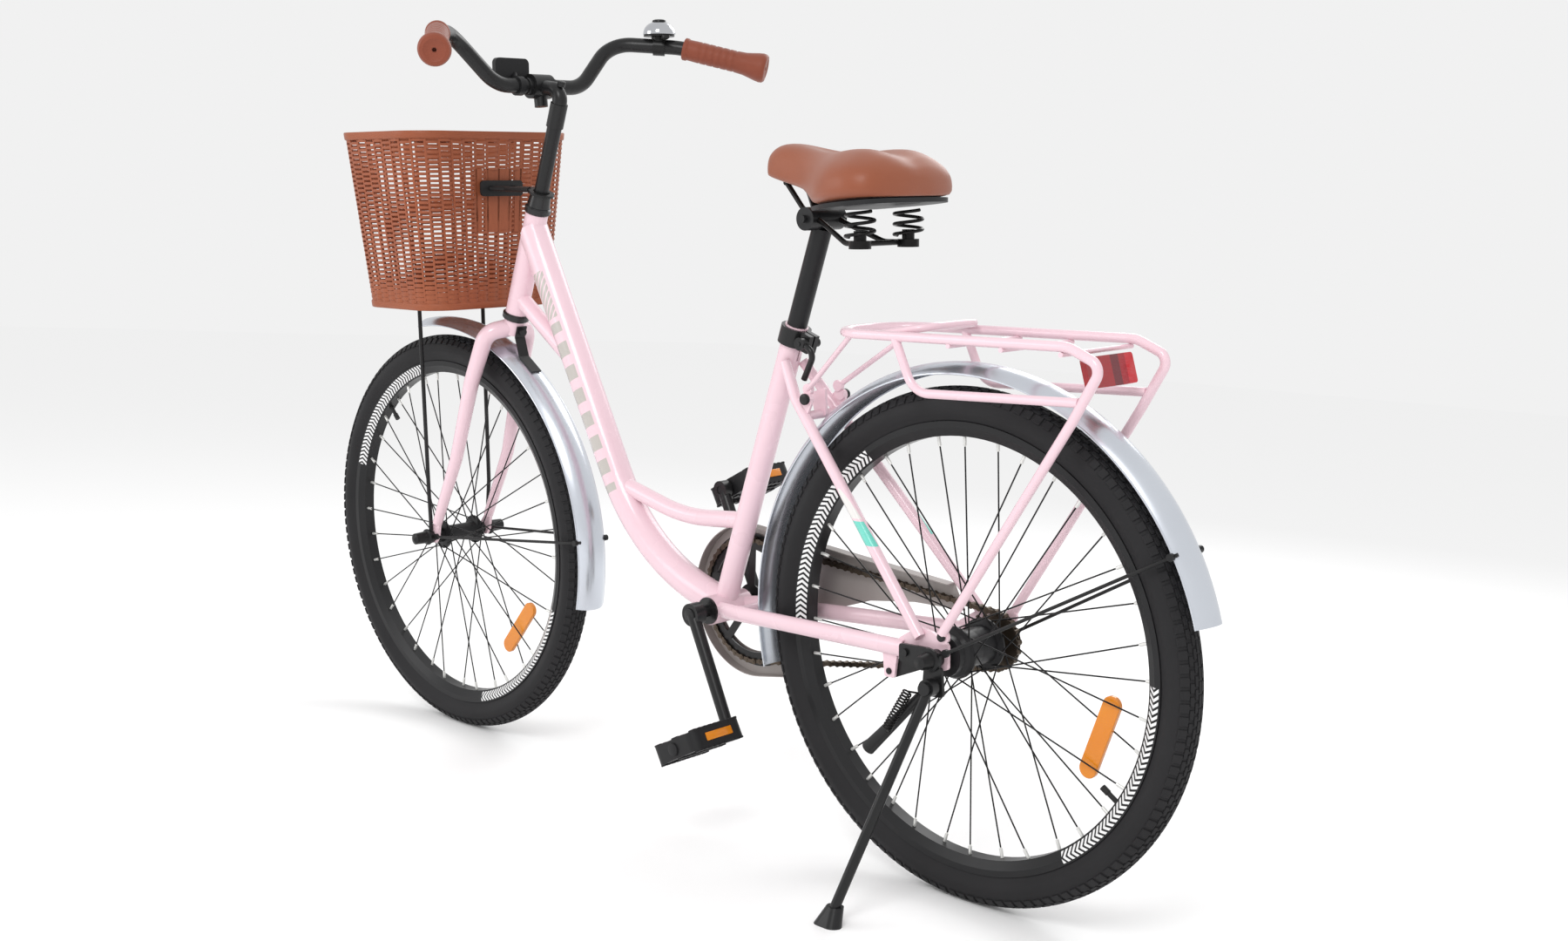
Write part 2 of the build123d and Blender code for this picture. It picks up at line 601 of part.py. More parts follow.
REFLECTOR_SPOT = (-199, 0, 361)
lens_face = Plane(origin=REFLECTOR_SPOT, x_dir=(0, 1, 0), z_dir=(-cos(radians(16)), 0, sin(radians(16))))
with BuildPart() as rear_reflector:
    with BuildSketch(lens_face):
        RectangleRounded(94, 36, 4)
    extrude(amount=-8)
    with BuildSketch(lens_face.offset(-8)):
        RectangleRounded(30, 20, 4)
    extrude(amount=-10)
    add(rear_carrier.part, mode=Mode.SUBTRACT)
save(rear_reflector, "rear_reflector")

# ---------------------------------------------------------------- chain guard
GUARD_PLATE = (-60.2, -59.2)
GUARD_LIP = -45.0


def guard_hoop(inset, y_low, y_high):
    """A solid round both ends of the chain drive, inset from the guard's outline."""
    with BuildPart() as hoop:
        with BuildSketch(Plane.XZ.offset(-y_high)):
            with Locations((BRACKET.X, BRACKET.Z)):
                Circle(110 - inset)
            with Locations((0, 0)):
                Circle(56 - inset)
            make_hull()
        extrude(amount=y_high - y_low)
    return hoop.part


with BuildPart() as chain_guard:
    add(guard_hoop(0, GUARD_PLATE[0], GUARD_LIP))
    add(guard_hoop(1.2, GUARD_PLATE[1], GUARD_LIP), mode=Mode.SUBTRACT)
    add(disc((BRACKET.X, 0, BRACKET.Z), 76, -70, -40), mode=Mode.SUBTRACT)
    add(sheet([(-80, -90), (54, -90), (54, 29), (78, 74), (78, 90), (-80, 90)], -70, -40),
        mode=Mode.SUBTRACT)
    add(sheet([(40, -140), (340, -140), (376, -84), (303, -16), (215, 14), (138, 25), (40, 28)],
              -70, -40), mode=Mode.SUBTRACT)
save(chain_guard, "chain_guard")

# ---------------------------------------------------------------- brake arm, side stand
with BuildPart() as coaster_brake_arm:
    add(sheet([(-12, -12), (-12, 12), (12, 14), (84, -24), (88, -34), (76, -42), (16, -16)],
              52.4, 55.6, 3))
    add(disc((0, 0, 0), 13, 52.4, 55.6))
    add(disc((0, 0, 0), AXLE_RADIUS, 40, 70), mode=Mode.SUBTRACT)
    add(disc((78, 0, -32), 2.6, 40, 70), mode=Mode.SUBTRACT)
save(coaster_brake_arm, "coaster_brake_arm")

STAND_PIVOT = Vector(-8, 88, -31)
STAND_FOOT = Vector(41.5, 214, -307)
STOWED = Vector(-295, 78, 6)
swing = (STAND_FOOT - STAND_PIVOT) - STOWED
pin_dir = (Vector(0, 1, 0) - swing * (swing.Y / swing.length ** 2)).normalized()
PIN_HIGH = 12.0
BARREL_HALF = 6.5
with BuildPart() as kickstand_bracket:
    add(sheet([(-14, -12), (-14, 10), (6, 14), (50, 12), (50, -10), (14, -16)], 71.2, 75.6, 4))
    add(sheet([(-20, -44), (-17, -8), (10, -8), (12, -30), (2, -46)], 71.2, 75.6, 4))
    add(disc((0, 0, 0), 11, 62.2, 71.4))
    add(disc((40, 0, 2), 5, 75, 79))
    add(bar(STAND_PIVOT + pin_dir * -14, STAND_PIVOT + pin_dir * PIN_HIGH, 5))
    add(bar(STAND_PIVOT + pin_dir * (BARREL_HALF + 0.4), STAND_PIVOT + pin_dir * PIN_HIGH, 8))
    add(bar(STAND_PIVOT + pin_dir * -14, STAND_PIVOT - pin_dir * (BARREL_HALF + 0.4), 9))
    add(disc((0, 0, 0), AXLE_RADIUS, 40, 120), mode=Mode.SUBTRACT)
    add(chainstays.part, mode=Mode.SUBTRACT)
save(kickstand_bracket, "kickstand_bracket")

leg_dir = (STAND_FOOT - STAND_PIVOT).normalized()
barrel = bar(STAND_PIVOT - pin_dir * BARREL_HALF, STAND_PIVOT + pin_dir * BARREL_HALF, 11)
pad_dir = Vector(78, 100, -123) - STAND_PIVOT
floor_up = Vector(0, -sin(radians(LEAN)), cos(radians(LEAN)))
floor_spot = STAND_FOOT - floor_up * (STAND_FOOT.dot(floor_up) + lowest_tyre)
with BuildPart() as kickstand_leg:
    with BuildSketch(Plane(origin=floor_spot, x_dir=(1, 0, 0), z_dir=floor_up)):
        SlotOverall(38, 24)
    with BuildSketch(Plane(origin=floor_spot + floor_up * 22 - Vector(3, 8, 0), x_dir=(1, 0, 0),
                           z_dir=floor_up)):
        SlotOverall(22, 20)
    loft()
    add(barrel)
    add(bar(STAND_PIVOT, STAND_FOOT - leg_dir * 6, 6.5))
    add(tapered([STAND_PIVOT + pad_dir * 0.1, STAND_PIVOT + pad_dir], 6, 9))
    add(bar(STAND_PIVOT + pin_dir * (BARREL_HALF + 0.1), STAND_PIVOT + pin_dir * 14, 8.6),
        mode=Mode.SUBTRACT)
    add(bar(STAND_PIVOT - pin_dir * 16, STAND_PIVOT - pin_dir * (BARREL_HALF + 0.1), 9.6),
        mode=Mode.SUBTRACT)
    add(bar(STAND_PIVOT - pin_dir * 9, STAND_PIVOT + pin_dir * 9, 5 + RUNNING), mode=Mode.SUBTRACT)
save(kickstand_leg, "kickstand_leg")

coil_start, coil_stop = Vector(12, 103, -36), Vector(40, 110, -88)
coil_run = coil_stop - coil_start
with BuildPart() as upright_coil:
    with BuildLine() as coil:
        Helix(pitch=coil_run.length / 14, height=coil_run.length, radius=5.5)
    with BuildSketch(Plane(origin=coil.line @ 0, z_dir=coil.line % 0)):
        Circle(1.1)
    sweep()
with BuildPart() as kickstand_spring:
    add(Plane(origin=coil_start, z_dir=coil_run).location * upright_coil.part)
save(kickstand_spring, "kickstand_spring")

# ---------------------------------------------------------------- seat clamp, seatpost and saddle
clamp_low = SEAT_TUBE_LENGTH - 26
seat_top = seat.offset(clamp_low)
with BuildPart() as seat_clamp:
    with BuildSketch(seat_top):
        Circle(20.5)
        with Locations((-25, 0)):
            Rectangle(20, 18)
    extrude(amount=24)
    with BuildSketch(seat_top):
        Circle(SEAT_TUBE_RADIUS + 0.02)
        with Locations((-25, 0)):
            Rectangle(24, 3)
    extrude(amount=24, mode=Mode.SUBTRACT)
    rod_spot = seat_top.origin - seat_fore * 28 + seat_dir * 12
    add(bar(rod_spot - Vector(0, 16, 0), rod_spot + Vector(0, 21, 0), 3))
    add(bar(rod_spot - Vector(0, 16, 0), rod_spot - Vector(0, 9, 0), 6))
save(seat_clamp, "seat_clamp")

lever_end = rod_spot - seat_fore * 16 - seat_dir * 44 + Vector(0, 10, 0)
with BuildPart() as seat_clamp_lever:
    add(bar(rod_spot + Vector(0, 9.5, 0), rod_spot + Vector(0, 20, 0), 8.5))
    add(pipe([rod_spot + Vector(0, 15, 0), rod_spot - seat_fore * 26 + Vector(0, 15, 0), lever_end],
             4.2, 12))
    add(bar(rod_spot + Vector(0, 5, 0), rod_spot + Vector(0, 25, 0), 3 + RUNNING), mode=Mode.SUBTRACT)
save(seat_clamp_lever, "seat_clamp_lever")

POST_INSERT = 110.0
POST_TOP = 566.0                    # along the seat tube, where the saddle clamp starts
clamp_spot = seat.origin + seat_dir * POST_TOP
RAIL_RADIUS = 3.5
RAIL_ROUTE = [(300, 13, 572), (264, 19, 538), (226, 21, 519), (174, 37, 496), (147, 46, 496)]
rails = [pipe(route, RAIL_RADIUS, 25) for route in both_sides(RAIL_ROUTE)]
with BuildPart() as seatpost:
    with BuildSketch(seat.offset(SEAT_TUBE_LENGTH - POST_INSERT)):
        Circle(POST_RADIUS)
    extrude(amount=POST_TOP - SEAT_TUBE_LENGTH + POST_INSERT)
    add(bar((clamp_spot.X + 1, -32, clamp_spot.Z + 12), (clamp_spot.X + 1, 32, clamp_spot.Z + 12), 15))
    add(bar((clamp_spot.X + 1, -38, clamp_spot.Z + 12), (clamp_spot.X + 1, 38, clamp_spot.Z + 12), 5))
    for rail in rails:
        add(rail, mode=Mode.SUBTRACT)
    with BuildSketch(seat.offset(SEAT_TUBE_LENGTH - POST_INSERT)):
        Circle(POST_RADIUS - 2)
    extrude(amount=POST_TOP - SEAT_TUBE_LENGTH + POST_INSERT - 20, mode=Mode.SUBTRACT)
save(seatpost, "seatpost")

SPRING_SPOT = [(142, 46), (142, -46)]
with BuildPart() as saddle_rails:
    for rail in rails:
        add(rail)
    add(bar((147, -46, 496), (147, 46, 496), RAIL_RADIUS))
    add(bar((299, -16, 571), (299, 16, 571), RAIL_RADIUS))
    for spot in SPRING_SPOT:
        add(bar((*spot, 490), (*spot, 500), 14))
        add(bar((*spot, 500), (*spot, 512), 8))
save(saddle_rails, "saddle_rails")

SPRING_LOW, SPRING_HIGH = 501.3, 539.4
with BuildPart() as saddle_springs:
    for spot in SPRING_SPOT:
        with BuildLine(Plane(origin=(*spot, SPRING_LOW + 3))) as wire:
            Helix(pitch=(SPRING_HIGH - SPRING_LOW - 6) / 2.5, height=SPRING_HIGH - SPRING_LOW - 6,
                  radius=18)
        with BuildSketch(Plane(origin=wire.line @ 0, z_dir=wire.line % 0)):
            Circle(2.2)
        sweep()
save(saddle_springs, "saddle_springs")

SADDLE_HALF = [(336, 0), (333, 14), (322, 25), (295, 31), (262, 37), (228, 54), (196, 76), (160, 94),
               (128, 96), (100, 82), (86, 50), (84, 0)]
SADDLE_TOP = [(348, 604), (338, 612), (318, 622), (284, 626), (230, 617), (180, 607), (130, 606),
              (104, 599), (88, 582), (78, 556)]
SADDLE_FLOOR = [(350, 592), (238, 568), (210, 542), (78, 554)]
BASE_DEPTH = 6.0


def saddle_outline(inset):
    """The saddle's plan, drawn in by an inset."""
    left = [(160 + (x - 160) * (1 - inset / 120), y * (1 - inset / 95)) for x, y in SADDLE_HALF]
    right = [(x, -y) for x, y in reversed(left[1:-1])]
    with BuildSketch() as plan:
        with BuildLine():
            Spline(*left, *right, periodic=True)
        make_face()
    return plan.sketch


def saddle_block(inset, side_view):
    """The saddle's plan, raised and cut to an outline seen from the side."""
    with BuildPart() as block:
        add(saddle_outline(inset))
        extrude(amount=700)
        with BuildSketch(Plane.XZ):
            Polygon(*side_view, align=None)
        extrude(amount=120, both=True, mode=Mode.INTERSECT)
    return block.part


with BuildPart() as saddle_cushion:
    add(saddle_block(0, [*SADDLE_TOP, *reversed(SADDLE_FLOOR)]))
save(saddle_cushion, "saddle_cushion")

with BuildPart() as saddle_base:
    lowered = [(x, z - BASE_DEPTH) for x, z in SADDLE_FLOOR]
    add(saddle_block(6, [*[(x, z - 0.2) for x, z in SADDLE_FLOOR], *reversed(lowered)]))
save(saddle_base, "saddle_base")

# ---------------------------------------------------------------- headset, fork and front axle
with BuildPart() as headset_cups:
    for low, high, wide in ((-11, -0.1, 21), (HEAD_LENGTH + 0.1, HEAD_LENGTH + 11, 20)):
        with BuildSketch(head.offset(low)):
            Circle(wide)
            Circle(STEERER_RADIUS + RUNNING, mode=Mode.SUBTRACT)
        extrude(amount=high - low)
    chamfer(headset_cups.edges().filter_by(GeomType.CIRCLE).filter_by(lambda e: e.radius > 19), 2)
save(headset_cups, "headset_cups")

LOCKNUT = (HEAD_LENGTH + 11.4, HEAD_LENGTH + 30)
with BuildPart() as headset_locknut:
    with BuildSketch(head.offset(LOCKNUT[0])):
        Circle(17.5)
    extrude(amount=LOCKNUT[1] - LOCKNUT[0], taper=6)
    with BuildSketch(head.offset(LOCKNUT[0])):
        Circle(STEERER_RADIUS)
    extrude(amount=LOCKNUT[1] - LOCKNUT[0], mode=Mode.SUBTRACT)
save(headset_locknut, "headset_locknut")

BLADE_TOP = [on_steering(3, 8, -27), on_steering(14, 40, -38), Vector(958, 47, 262), Vector(1000, 51, 137),
             Vector(1059, 51, 24)]
FORK_END = [(1052, 22), (1064, 26), (1084, 4), (1082, -10), (1064, -10), (1056, 0)]
with BuildPart() as fork:
    with BuildSketch(head.offset(-34)):
        Circle(17)
    extrude(amount=22.6)
    with BuildSketch(head.offset(-20)):
        Circle(STEERER_RADIUS)
    extrude(amount=20 + HEAD_LENGTH + 30)
    for route in both_sides(BLADE_TOP):
        add(tapered(route, 14, 8, [26, 50, 90]))
    for side in (1, -1):
        add(sheet(FORK_END, min(side * 48.5, side * 53.5), max(side * 48.5, side * 53.5), 3))
    with BuildSketch(head.offset(-60)):
        Circle(QUILL_RADIUS + RUNNING)
    extrude(amount=60 + HEAD_LENGTH + 31, mode=Mode.SUBTRACT)
    add(disc(FRONT_AXLE, AXLE_RADIUS, -60, 60), mode=Mode.SUBTRACT)
save(fork, "fork")

with BuildPart() as front_axle:
    add(disc(FRONT_AXLE, AXLE_RADIUS, -70, 70))
    for side in (1, -1):
        outline = [(0, 60.8), (13, 60.8), (13, 63), (10, 65), (9, 86), (0, 90)]
        add(turned([(radius, side * across) for radius, across in outline], FRONT_AXLE))
        ring = [(AXLE_RADIUS, 44.4), (9, 44.4), (9, 48.4), (AXLE_RADIUS, 48.4)]
        add(turned([(radius, side * across) for radius, across in ring], FRONT_AXLE))
save(front_axle, "front_axle")

# ---------------------------------------------------------------- mudguards
GUARD_SPAN = {"rear": (-14.0, 165.5), "front": (80.5, 192.0)}


def guard_blade(end):
    """A mudguard's curved blade: an arched strip turned part of the way round its axle."""
    first, last = GUARD_SPAN[end]
    axle = AXLES[end]
    start = around(axle, 1, first) - axle
    with BuildPart() as blade:
        with BuildSketch(Plane(origin=axle, x_dir=start, z_dir=start.cross(Vector(0, 1, 0)))):
            with BuildLine():
                outer = ThreePointArc((GUARD_RADIUS - GUARD_DROP, GUARD_HALF), (GUARD_RADIUS, 0),
                                      (GUARD_RADIUS - GUARD_DROP, -GUARD_HALF))
                inner = ThreePointArc((GUARD_RADIUS - GUARD_DROP, GUARD_HALF - GUARD_WALL),
                                      (GUARD_RADIUS - GUARD_WALL, 0),
                                      (GUARD_RADIUS - GUARD_DROP, GUARD_WALL - GUARD_HALF))
                Line(outer @ 0, inner @ 0)
                Line(outer @ 1, inner @ 1)
            make_face()
        revolve(axis=Axis(axle, (0, -1, 0)), revolution_arc=last - first)
    return blade.part


blades = {end: guard_blade(end) for end in AXLES}
STAY_RADIUS = 2.2
REAR_STAY_ANGLE = 151.4
FRONT_STAY_ANGLE = 174.5
STRAP_ROUTE = [on_steering(-19, 0, -16), on_steering(-19, 0, -34),
               around(FRONT_AXLE, GUARD_RADIUS + 1.4, 122), around(FRONT_AXLE, GUARD_RADIUS + 1.4, 128)]

for end, angle, reach, edge in (("rear", REAR_STAY_ANGLE, 22, 70), ("front", FRONT_STAY_ANGLE, 17, 56.2)):
    with BuildPart() as mudguard:
        add(blades[end])
    save(mudguard, f"{end}_mudguard")
    axle = AXLES[end]
    with BuildPart() as stays:
        for side in (1, -1):
            eyelet = around(axle, reach, angle, side * edge)
            shoulder = around(axle, GUARD_RADIUS - 30, angle, side * (GUARD_HALF + 5))
            tab = around(axle, GUARD_RADIUS - 7, angle, side * (GUARD_HALF - 1))
            add(pipe([eyelet, shoulder, tab], STAY_RADIUS, 8))
            add(bar(eyelet - Vector(0, side * 2.4, 0), eyelet + Vector(0, side * 2.4, 0), 5))
            bolt = around(axle, GUARD_RADIUS - 14, angle, side * (GUARD_HALF + 1.4))
            add(bar(bolt, bolt + Vector(0, side * 5, 0), 4.5))
        if end == "front":
            with BuildSketch(Plane.XZ):
                with BuildLine():
                    Polyline(*[(spot.X, spot.Z) for spot in STRAP_ROUTE])
                trace(line_width=2.4)
            extrude(amount=9, both=True)
            add(bar(on_steering(-26, 0, -24), on_steering(-17.2, 0, -24), 6))
            add(fork.part, mode=Mode.SUBTRACT)
        add(blades[end], mode=Mode.SUBTRACT)
        for plate in dropouts:
            add(plate, mode=Mode.SUBTRACT)
    save(stays, f"{end}_mudguard_stay")

# ---------------------------------------------------------------- stem and handlebar
BAR_CENTRE = Vector(827, 0, 713.5)
STEM_FOOT = HEAD_LENGTH - 50
STEM_BEND = on_steering(0, 0, 356)
with BuildPart() as stem:
    add(pipe([on_steering(0, 0, STEM_FOOT), STEM_BEND, BAR_CENTRE], QUILL_RADIUS, 16))
    add(disc(BAR_CENTRE, 18, -18, 18))
    add(bar(BAR_CENTRE + Vector(-4, 0, -30), BAR_CENTRE + Vector(-2, 0, -12), 10))
    add(bar(on_steering(0, 0, 300), on_steering(0, 0, 336), 13))
    add(disc(BAR_CENTRE, 12.7 + RUNNING, -40, 40), mode=Mode.SUBTRACT)
save(stem, "stem")

BAR_HALF = [(827, 80, 713.5), (838, 150, 784), (760, 226, 777), (655, 306, 744)]
bar_left, bar_right = both_sides(BAR_HALF)
BAR_ROUTE = [*reversed(bar_right), *bar_left]
BAR_BENDS = [120, 50, 55, 55, 50, 120]
bar_envelope = pipe(BAR_ROUTE, BAR_RADIUS, BAR_BENDS)
with BuildPart() as handlebar:
    add(bar_envelope)
    add(disc(BAR_CENTRE, 12.7, -26, 26))
    add(pipe(BAR_ROUTE, BAR_RADIUS - 1.8, BAR_BENDS), mode=Mode.SUBTRACT)
save(handlebar, "handlebar")

with BuildPart() as grips:
    for route in (bar_left, bar_right):
        start, stop = route[2], route[3]
        along = (stop - start).normalized()
        add(tapered([start + along * 8, stop + along * 3], 16, 17.5))
        add(tapered([stop - along * 16, stop + along * 4], 18, 23))
    add(bar_envelope, mode=Mode.SUBTRACT)
save(grips, "grips")

BELL_AT = 0.7
bell_on_bar = bar_right[1] + (bar_right[2] - bar_right[1]) * BELL_AT
bar_way = (bar_right[2] - bar_right[1]).normalized()
BELL_PIN = bell_on_bar + Vector(-21, 8, 9)
with BuildPart() as bell_base:
    add(bar(bell_on_bar - bar_way * 9, bell_on_bar + bar_way * 9, 14))
    add(bar(bell_on_bar + Vector(0, 0, 8), bell_on_bar + Vector(0, 0, 19), 12))
    add(bar(bell_on_bar + Vector(0, 0, 15), bell_on_bar + Vector(0, 0, 18.4), 24))
    add(bar(BELL_PIN, BELL_PIN + Vector(0, 0, 8), 1.5))
    add(bar_envelope, mode=Mode.SUBTRACT)
save(bell_base, "bell_base")

with BuildPart() as bell_dome:
    dome = [(0, 19.2), (25, 19.2), (25, 22), (23, 30), (17, 36), (9, 39), (0, 40)]
    with BuildSketch(Plane(origin=bell_on_bar, x_dir=(1, 0, 0), z_dir=(0, -1, 0))):
        Polygon(*dome, align=None)
    revolve(axis=Axis(bell_on_bar, (0, 0, 1)))
save(bell_dome, "bell_dome")

with BuildPart() as bell_lever:
    with BuildSketch(Plane(origin=BELL_PIN + Vector(0, 0, 1), x_dir=(-0.8, 0.6, 0), z_dir=(0, 0, 1))):
        SlotCenterPoint((14, 0), (30, 0), 11)
        SlotCenterPoint((7, 0), (14, 0), 8)
        Circle(1.5 + RUNNING, mode=Mode.SUBTRACT)
    extrude(amount=3.6)
save(bell_lever, "bell_lever")

REFLECTOR_AT = BAR_CENTRE + Vector(21, 36, 26)
with BuildPart() as front_reflector:
    with BuildSketch(Plane(origin=REFLECTOR_AT, x_dir=(0, 1, 0), z_dir=(1, 0, 0))):
        RectangleRounded(62, 30, 8)
    extrude(amount=4, both=True)
    add(bar(BAR_CENTRE + Vector(0, 34, 0), BAR_CENTRE + Vector(0, 44, 0), 14.5))
    add(bar(BAR_CENTRE + Vector(8, 39, 8), REFLECTOR_AT + Vector(-2, -5, -8), 4))
    add(bar_envelope, mode=Mode.SUBTRACT)
save(front_reflector, "front_reflector")

# ---------------------------------------------------------------- basket
BASKET_TOP = {"back": 930, "front": 1158, "half": 154, "height": 648}
BASKET_LOW = {"back": 946, "front": 1138, "half": 124, "height": 380}


def basket_shape(wall):
    """The tub's outer solid, or its hollow when the wall is given."""
    with BuildPart() as tub:
        for end, corner in ((BASKET_LOW, 45), (BASKET_TOP, 55)):
            raised = wall if end is BASKET_LOW else (1 if wall else 0)
            spot = ((end["back"] + end["front"]) / 2, 0, end["height"] + raised)
            with BuildSketch(Plane(origin=spot)):
                RectangleRounded(end["front"] - end["back"] - 2 * wall, 2 * (end["half"] - wall),
                                 corner - wall)
        loft()
    return tub.part


with BuildPart() as basket:
    add(basket_shape(0))
    add(basket_shape(4), mode=Mode.SUBTRACT)
save(basket, "basket")

BACKPLATE = 3.0
with BuildPart() as basket_mounts:
    with BuildSketch(head.offset(LOCKNUT[1] + 0.3)):
        Circle(20)
        Circle(STEERER_RADIUS, mode=Mode.SUBTRACT)
    extrude(amount=4)
    for side in (1, -1):
        start = on_steering(14, side * 12, LOCKNUT[1] + 2.3)
        add(pipe([start, (900, side * 13, 562), (925.5, side * 22, 563)], 4, 10))
    with BuildSketch(Plane(origin=(926, 0, 563), x_dir=(0, 1, 0), z_dir=(1, 0, 0))):
        RectangleRounded(80, 24, 6)
    extrude(amount=BACKPLATE)
    for side in (1, -1):
        rod = [(FRONT_AXLE.X - 3, side * 57, 0), (FRONT_AXLE.X - 4, side * 57, 28),
               (FRONT_AXLE.X - 6, side * 60, 80), (FRONT_AXLE.X - 2, side * 62, 376)]
        add(pipe(rod, 3.2, 60))
        add(disc(FRONT_AXLE, 11, min(side * 54, side * 60.4), max(side * 54, side * 60.4)))
        add(bar((FRONT_AXLE.X - 2, side * 50, 376), (FRONT_AXLE.X - 2, side * 74, 376), 3.2))
    add(disc(FRONT_AXLE, AXLE_RADIUS, -70, 70), mode=Mode.SUBTRACT)
    add(fork.part, mode=Mode.SUBTRACT)
save(basket_mounts, "basket_mounts")
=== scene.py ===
# %% [markdown]
# # A city bicycle on its side stand
# The bicycle has already been built to size as a set of solid parts, joined into moving bodies.
# Here each part gets its real finish, and the soft, woven, moulded and rubber pieces that a solid
# can't show well are modelled again around that frame.  Everything is drawn upright,
# as a bicycle maker would draw it, and is then leaned onto the stand.

# %% Load the frame
import math

import bpy
import numpy as np
from mathutils import Matrix, Vector


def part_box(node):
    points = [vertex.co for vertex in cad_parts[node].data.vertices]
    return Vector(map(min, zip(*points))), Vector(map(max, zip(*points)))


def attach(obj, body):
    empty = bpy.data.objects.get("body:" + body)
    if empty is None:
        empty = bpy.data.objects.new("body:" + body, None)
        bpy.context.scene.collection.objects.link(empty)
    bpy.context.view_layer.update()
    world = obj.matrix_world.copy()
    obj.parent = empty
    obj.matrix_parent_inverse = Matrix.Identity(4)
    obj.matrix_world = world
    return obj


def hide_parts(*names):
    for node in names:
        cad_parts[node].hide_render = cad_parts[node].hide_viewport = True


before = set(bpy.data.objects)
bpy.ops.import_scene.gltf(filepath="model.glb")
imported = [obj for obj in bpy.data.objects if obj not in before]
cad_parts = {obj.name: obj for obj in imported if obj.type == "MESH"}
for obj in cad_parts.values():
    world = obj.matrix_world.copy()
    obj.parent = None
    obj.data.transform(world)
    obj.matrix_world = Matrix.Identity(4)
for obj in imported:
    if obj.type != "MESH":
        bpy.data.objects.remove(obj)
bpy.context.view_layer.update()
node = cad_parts

# %% [markdown]
# ## Upright drawing, leaning bicycle
# The rear axle is the middle of the rear tyre.  A point is given in millimetres from that axle,
# forward, left and up on the upright bicycle, and STAND carries it to where the leaning one has it.

# %% Places on the bicycle
MM = 0.001
LEAN = math.radians(5)
tyre_low, tyre_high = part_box("rear_tyre")
REAR_HUB_SPOT = (tyre_low + tyre_high) / 2
STAND = Matrix.Translation(REAR_HUB_SPOT) @ Matrix.Rotation(-LEAN, 4, "X") @ Matrix.Scale(MM, 4)
WHEELBASE = 1073.3
AXLE = {"rear": Vector((0, 0, 0)), "front": Vector((WHEELBASE, 0, 0))}


def around(centre, radius, degrees, across=0.0):
    """A point round a cross axis; the angle starts forward and rises."""
    turn = math.radians(degrees)
    return centre + Vector((radius * math.cos(turn), across, radius * math.sin(turn)))


print("rear axle stands at", [round(v, 4) for v in REAR_HUB_SPOT])

# %% [markdown]
# ## Modelling helpers
# The operators act on whatever is selected, so each piece starts from nothing selected.
# A finished piece is leaned with the bicycle in its own mesh, and its object stays at the origin.

# %% Helpers for new pieces


def alone(obj=None):
    """Leaves only this object selected and active."""
    bpy.ops.object.select_all(action="DESELECT")
    if obj:
        obj.select_set(True)
        bpy.context.view_layer.objects.active = obj


def settle(obj, name, body, material, replaced=(), smooth=40):
    """Names a piece, puts its place in its mesh, leans it and makes it ride on its body."""
    alone(obj)
    bpy.ops.object.transform_apply(location=True, rotation=True, scale=True)
    obj.data.transform(STAND)
    obj.name = name
    obj.data.name = name
    obj.data.materials.clear()
    obj.data.materials.append(material)
    if smooth:
        bpy.ops.object.shade_smooth_by_angle(angle=math.radians(smooth))
    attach(obj, body)
    if replaced:
        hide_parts(*replaced)
    print(name, len(obj.data.polygons), "faces on", body)
    return obj


def mesh_of(name, points, faces):
    """A new mesh object from points and faces."""
    mesh = bpy.data.meshes.new(name)
    mesh.from_pydata([tuple(p) for p in points], [], faces)
    mesh.update()
    obj = bpy.data.objects.new(name, mesh)
    bpy.context.scene.collection.objects.link(obj)
    return obj


def modifier(obj, kind, **settings):
    """Adds a modifier and applies it."""
    alone(obj)
    added = obj.modifiers.new(kind.title(), kind)
    for key, value in settings.items():
        setattr(added, key, value)
    bpy.ops.object.modifier_apply(modifier=added.name)


def tidy_normals(obj, doubles=0.02):
    """Merges doubled points and turns every face outwards."""
    alone(obj)
    bpy.ops.object.mode_set(mode="EDIT")
    bpy.ops.mesh.select_all(action="SELECT")
    bpy.ops.mesh.remove_doubles(threshold=doubles)
    bpy.ops.mesh.normals_make_consistent(inside=False)
    bpy.ops.object.mode_set(mode="OBJECT")


def turn(outline, centre, axis, steps=48, arc=360.0, start=None):
    """Spins an outline of (radius, along) points about an axis through centre."""
    axis = Vector(axis).normalized()
    side = Vector(start) if start else axis.orthogonal()
    side = (side - axis * side.dot(axis)).normalized()
    points = [centre + side * r + axis * along for r, along in outline]
    edges = [(i, i + 1) for i in range(len(points) - 1)]
    mesh = bpy.data.meshes.new("turned")
    mesh.from_pydata([tuple(p) for p in points], edges, [])
    obj = bpy.data.objects.new("turned", mesh)
    bpy.context.scene.collection.objects.link(obj)
    alone(obj)
    bpy.ops.object.mode_set(mode="EDIT")
    bpy.ops.mesh.select_all(action="SELECT")
    bpy.ops.mesh.spin(steps=steps, angle=math.radians(arc), center=centre, axis=axis)
    bpy.ops.object.mode_set(mode="OBJECT")
    tidy_normals(obj)
    return obj


def block(size, bevel=0.0, segments=2):
    """A cube primitive of this size about the origin, with its edges bevelled."""
    alone()
    bpy.ops.mesh.primitive_cube_add(size=1)
    obj = bpy.context.object
    obj.scale = size
    bpy.ops.object.transform_apply(scale=True)
    if bevel:
        modifier(obj, "BEVEL", width=bevel, segments=segments, limit_method="ANGLE")
    return obj


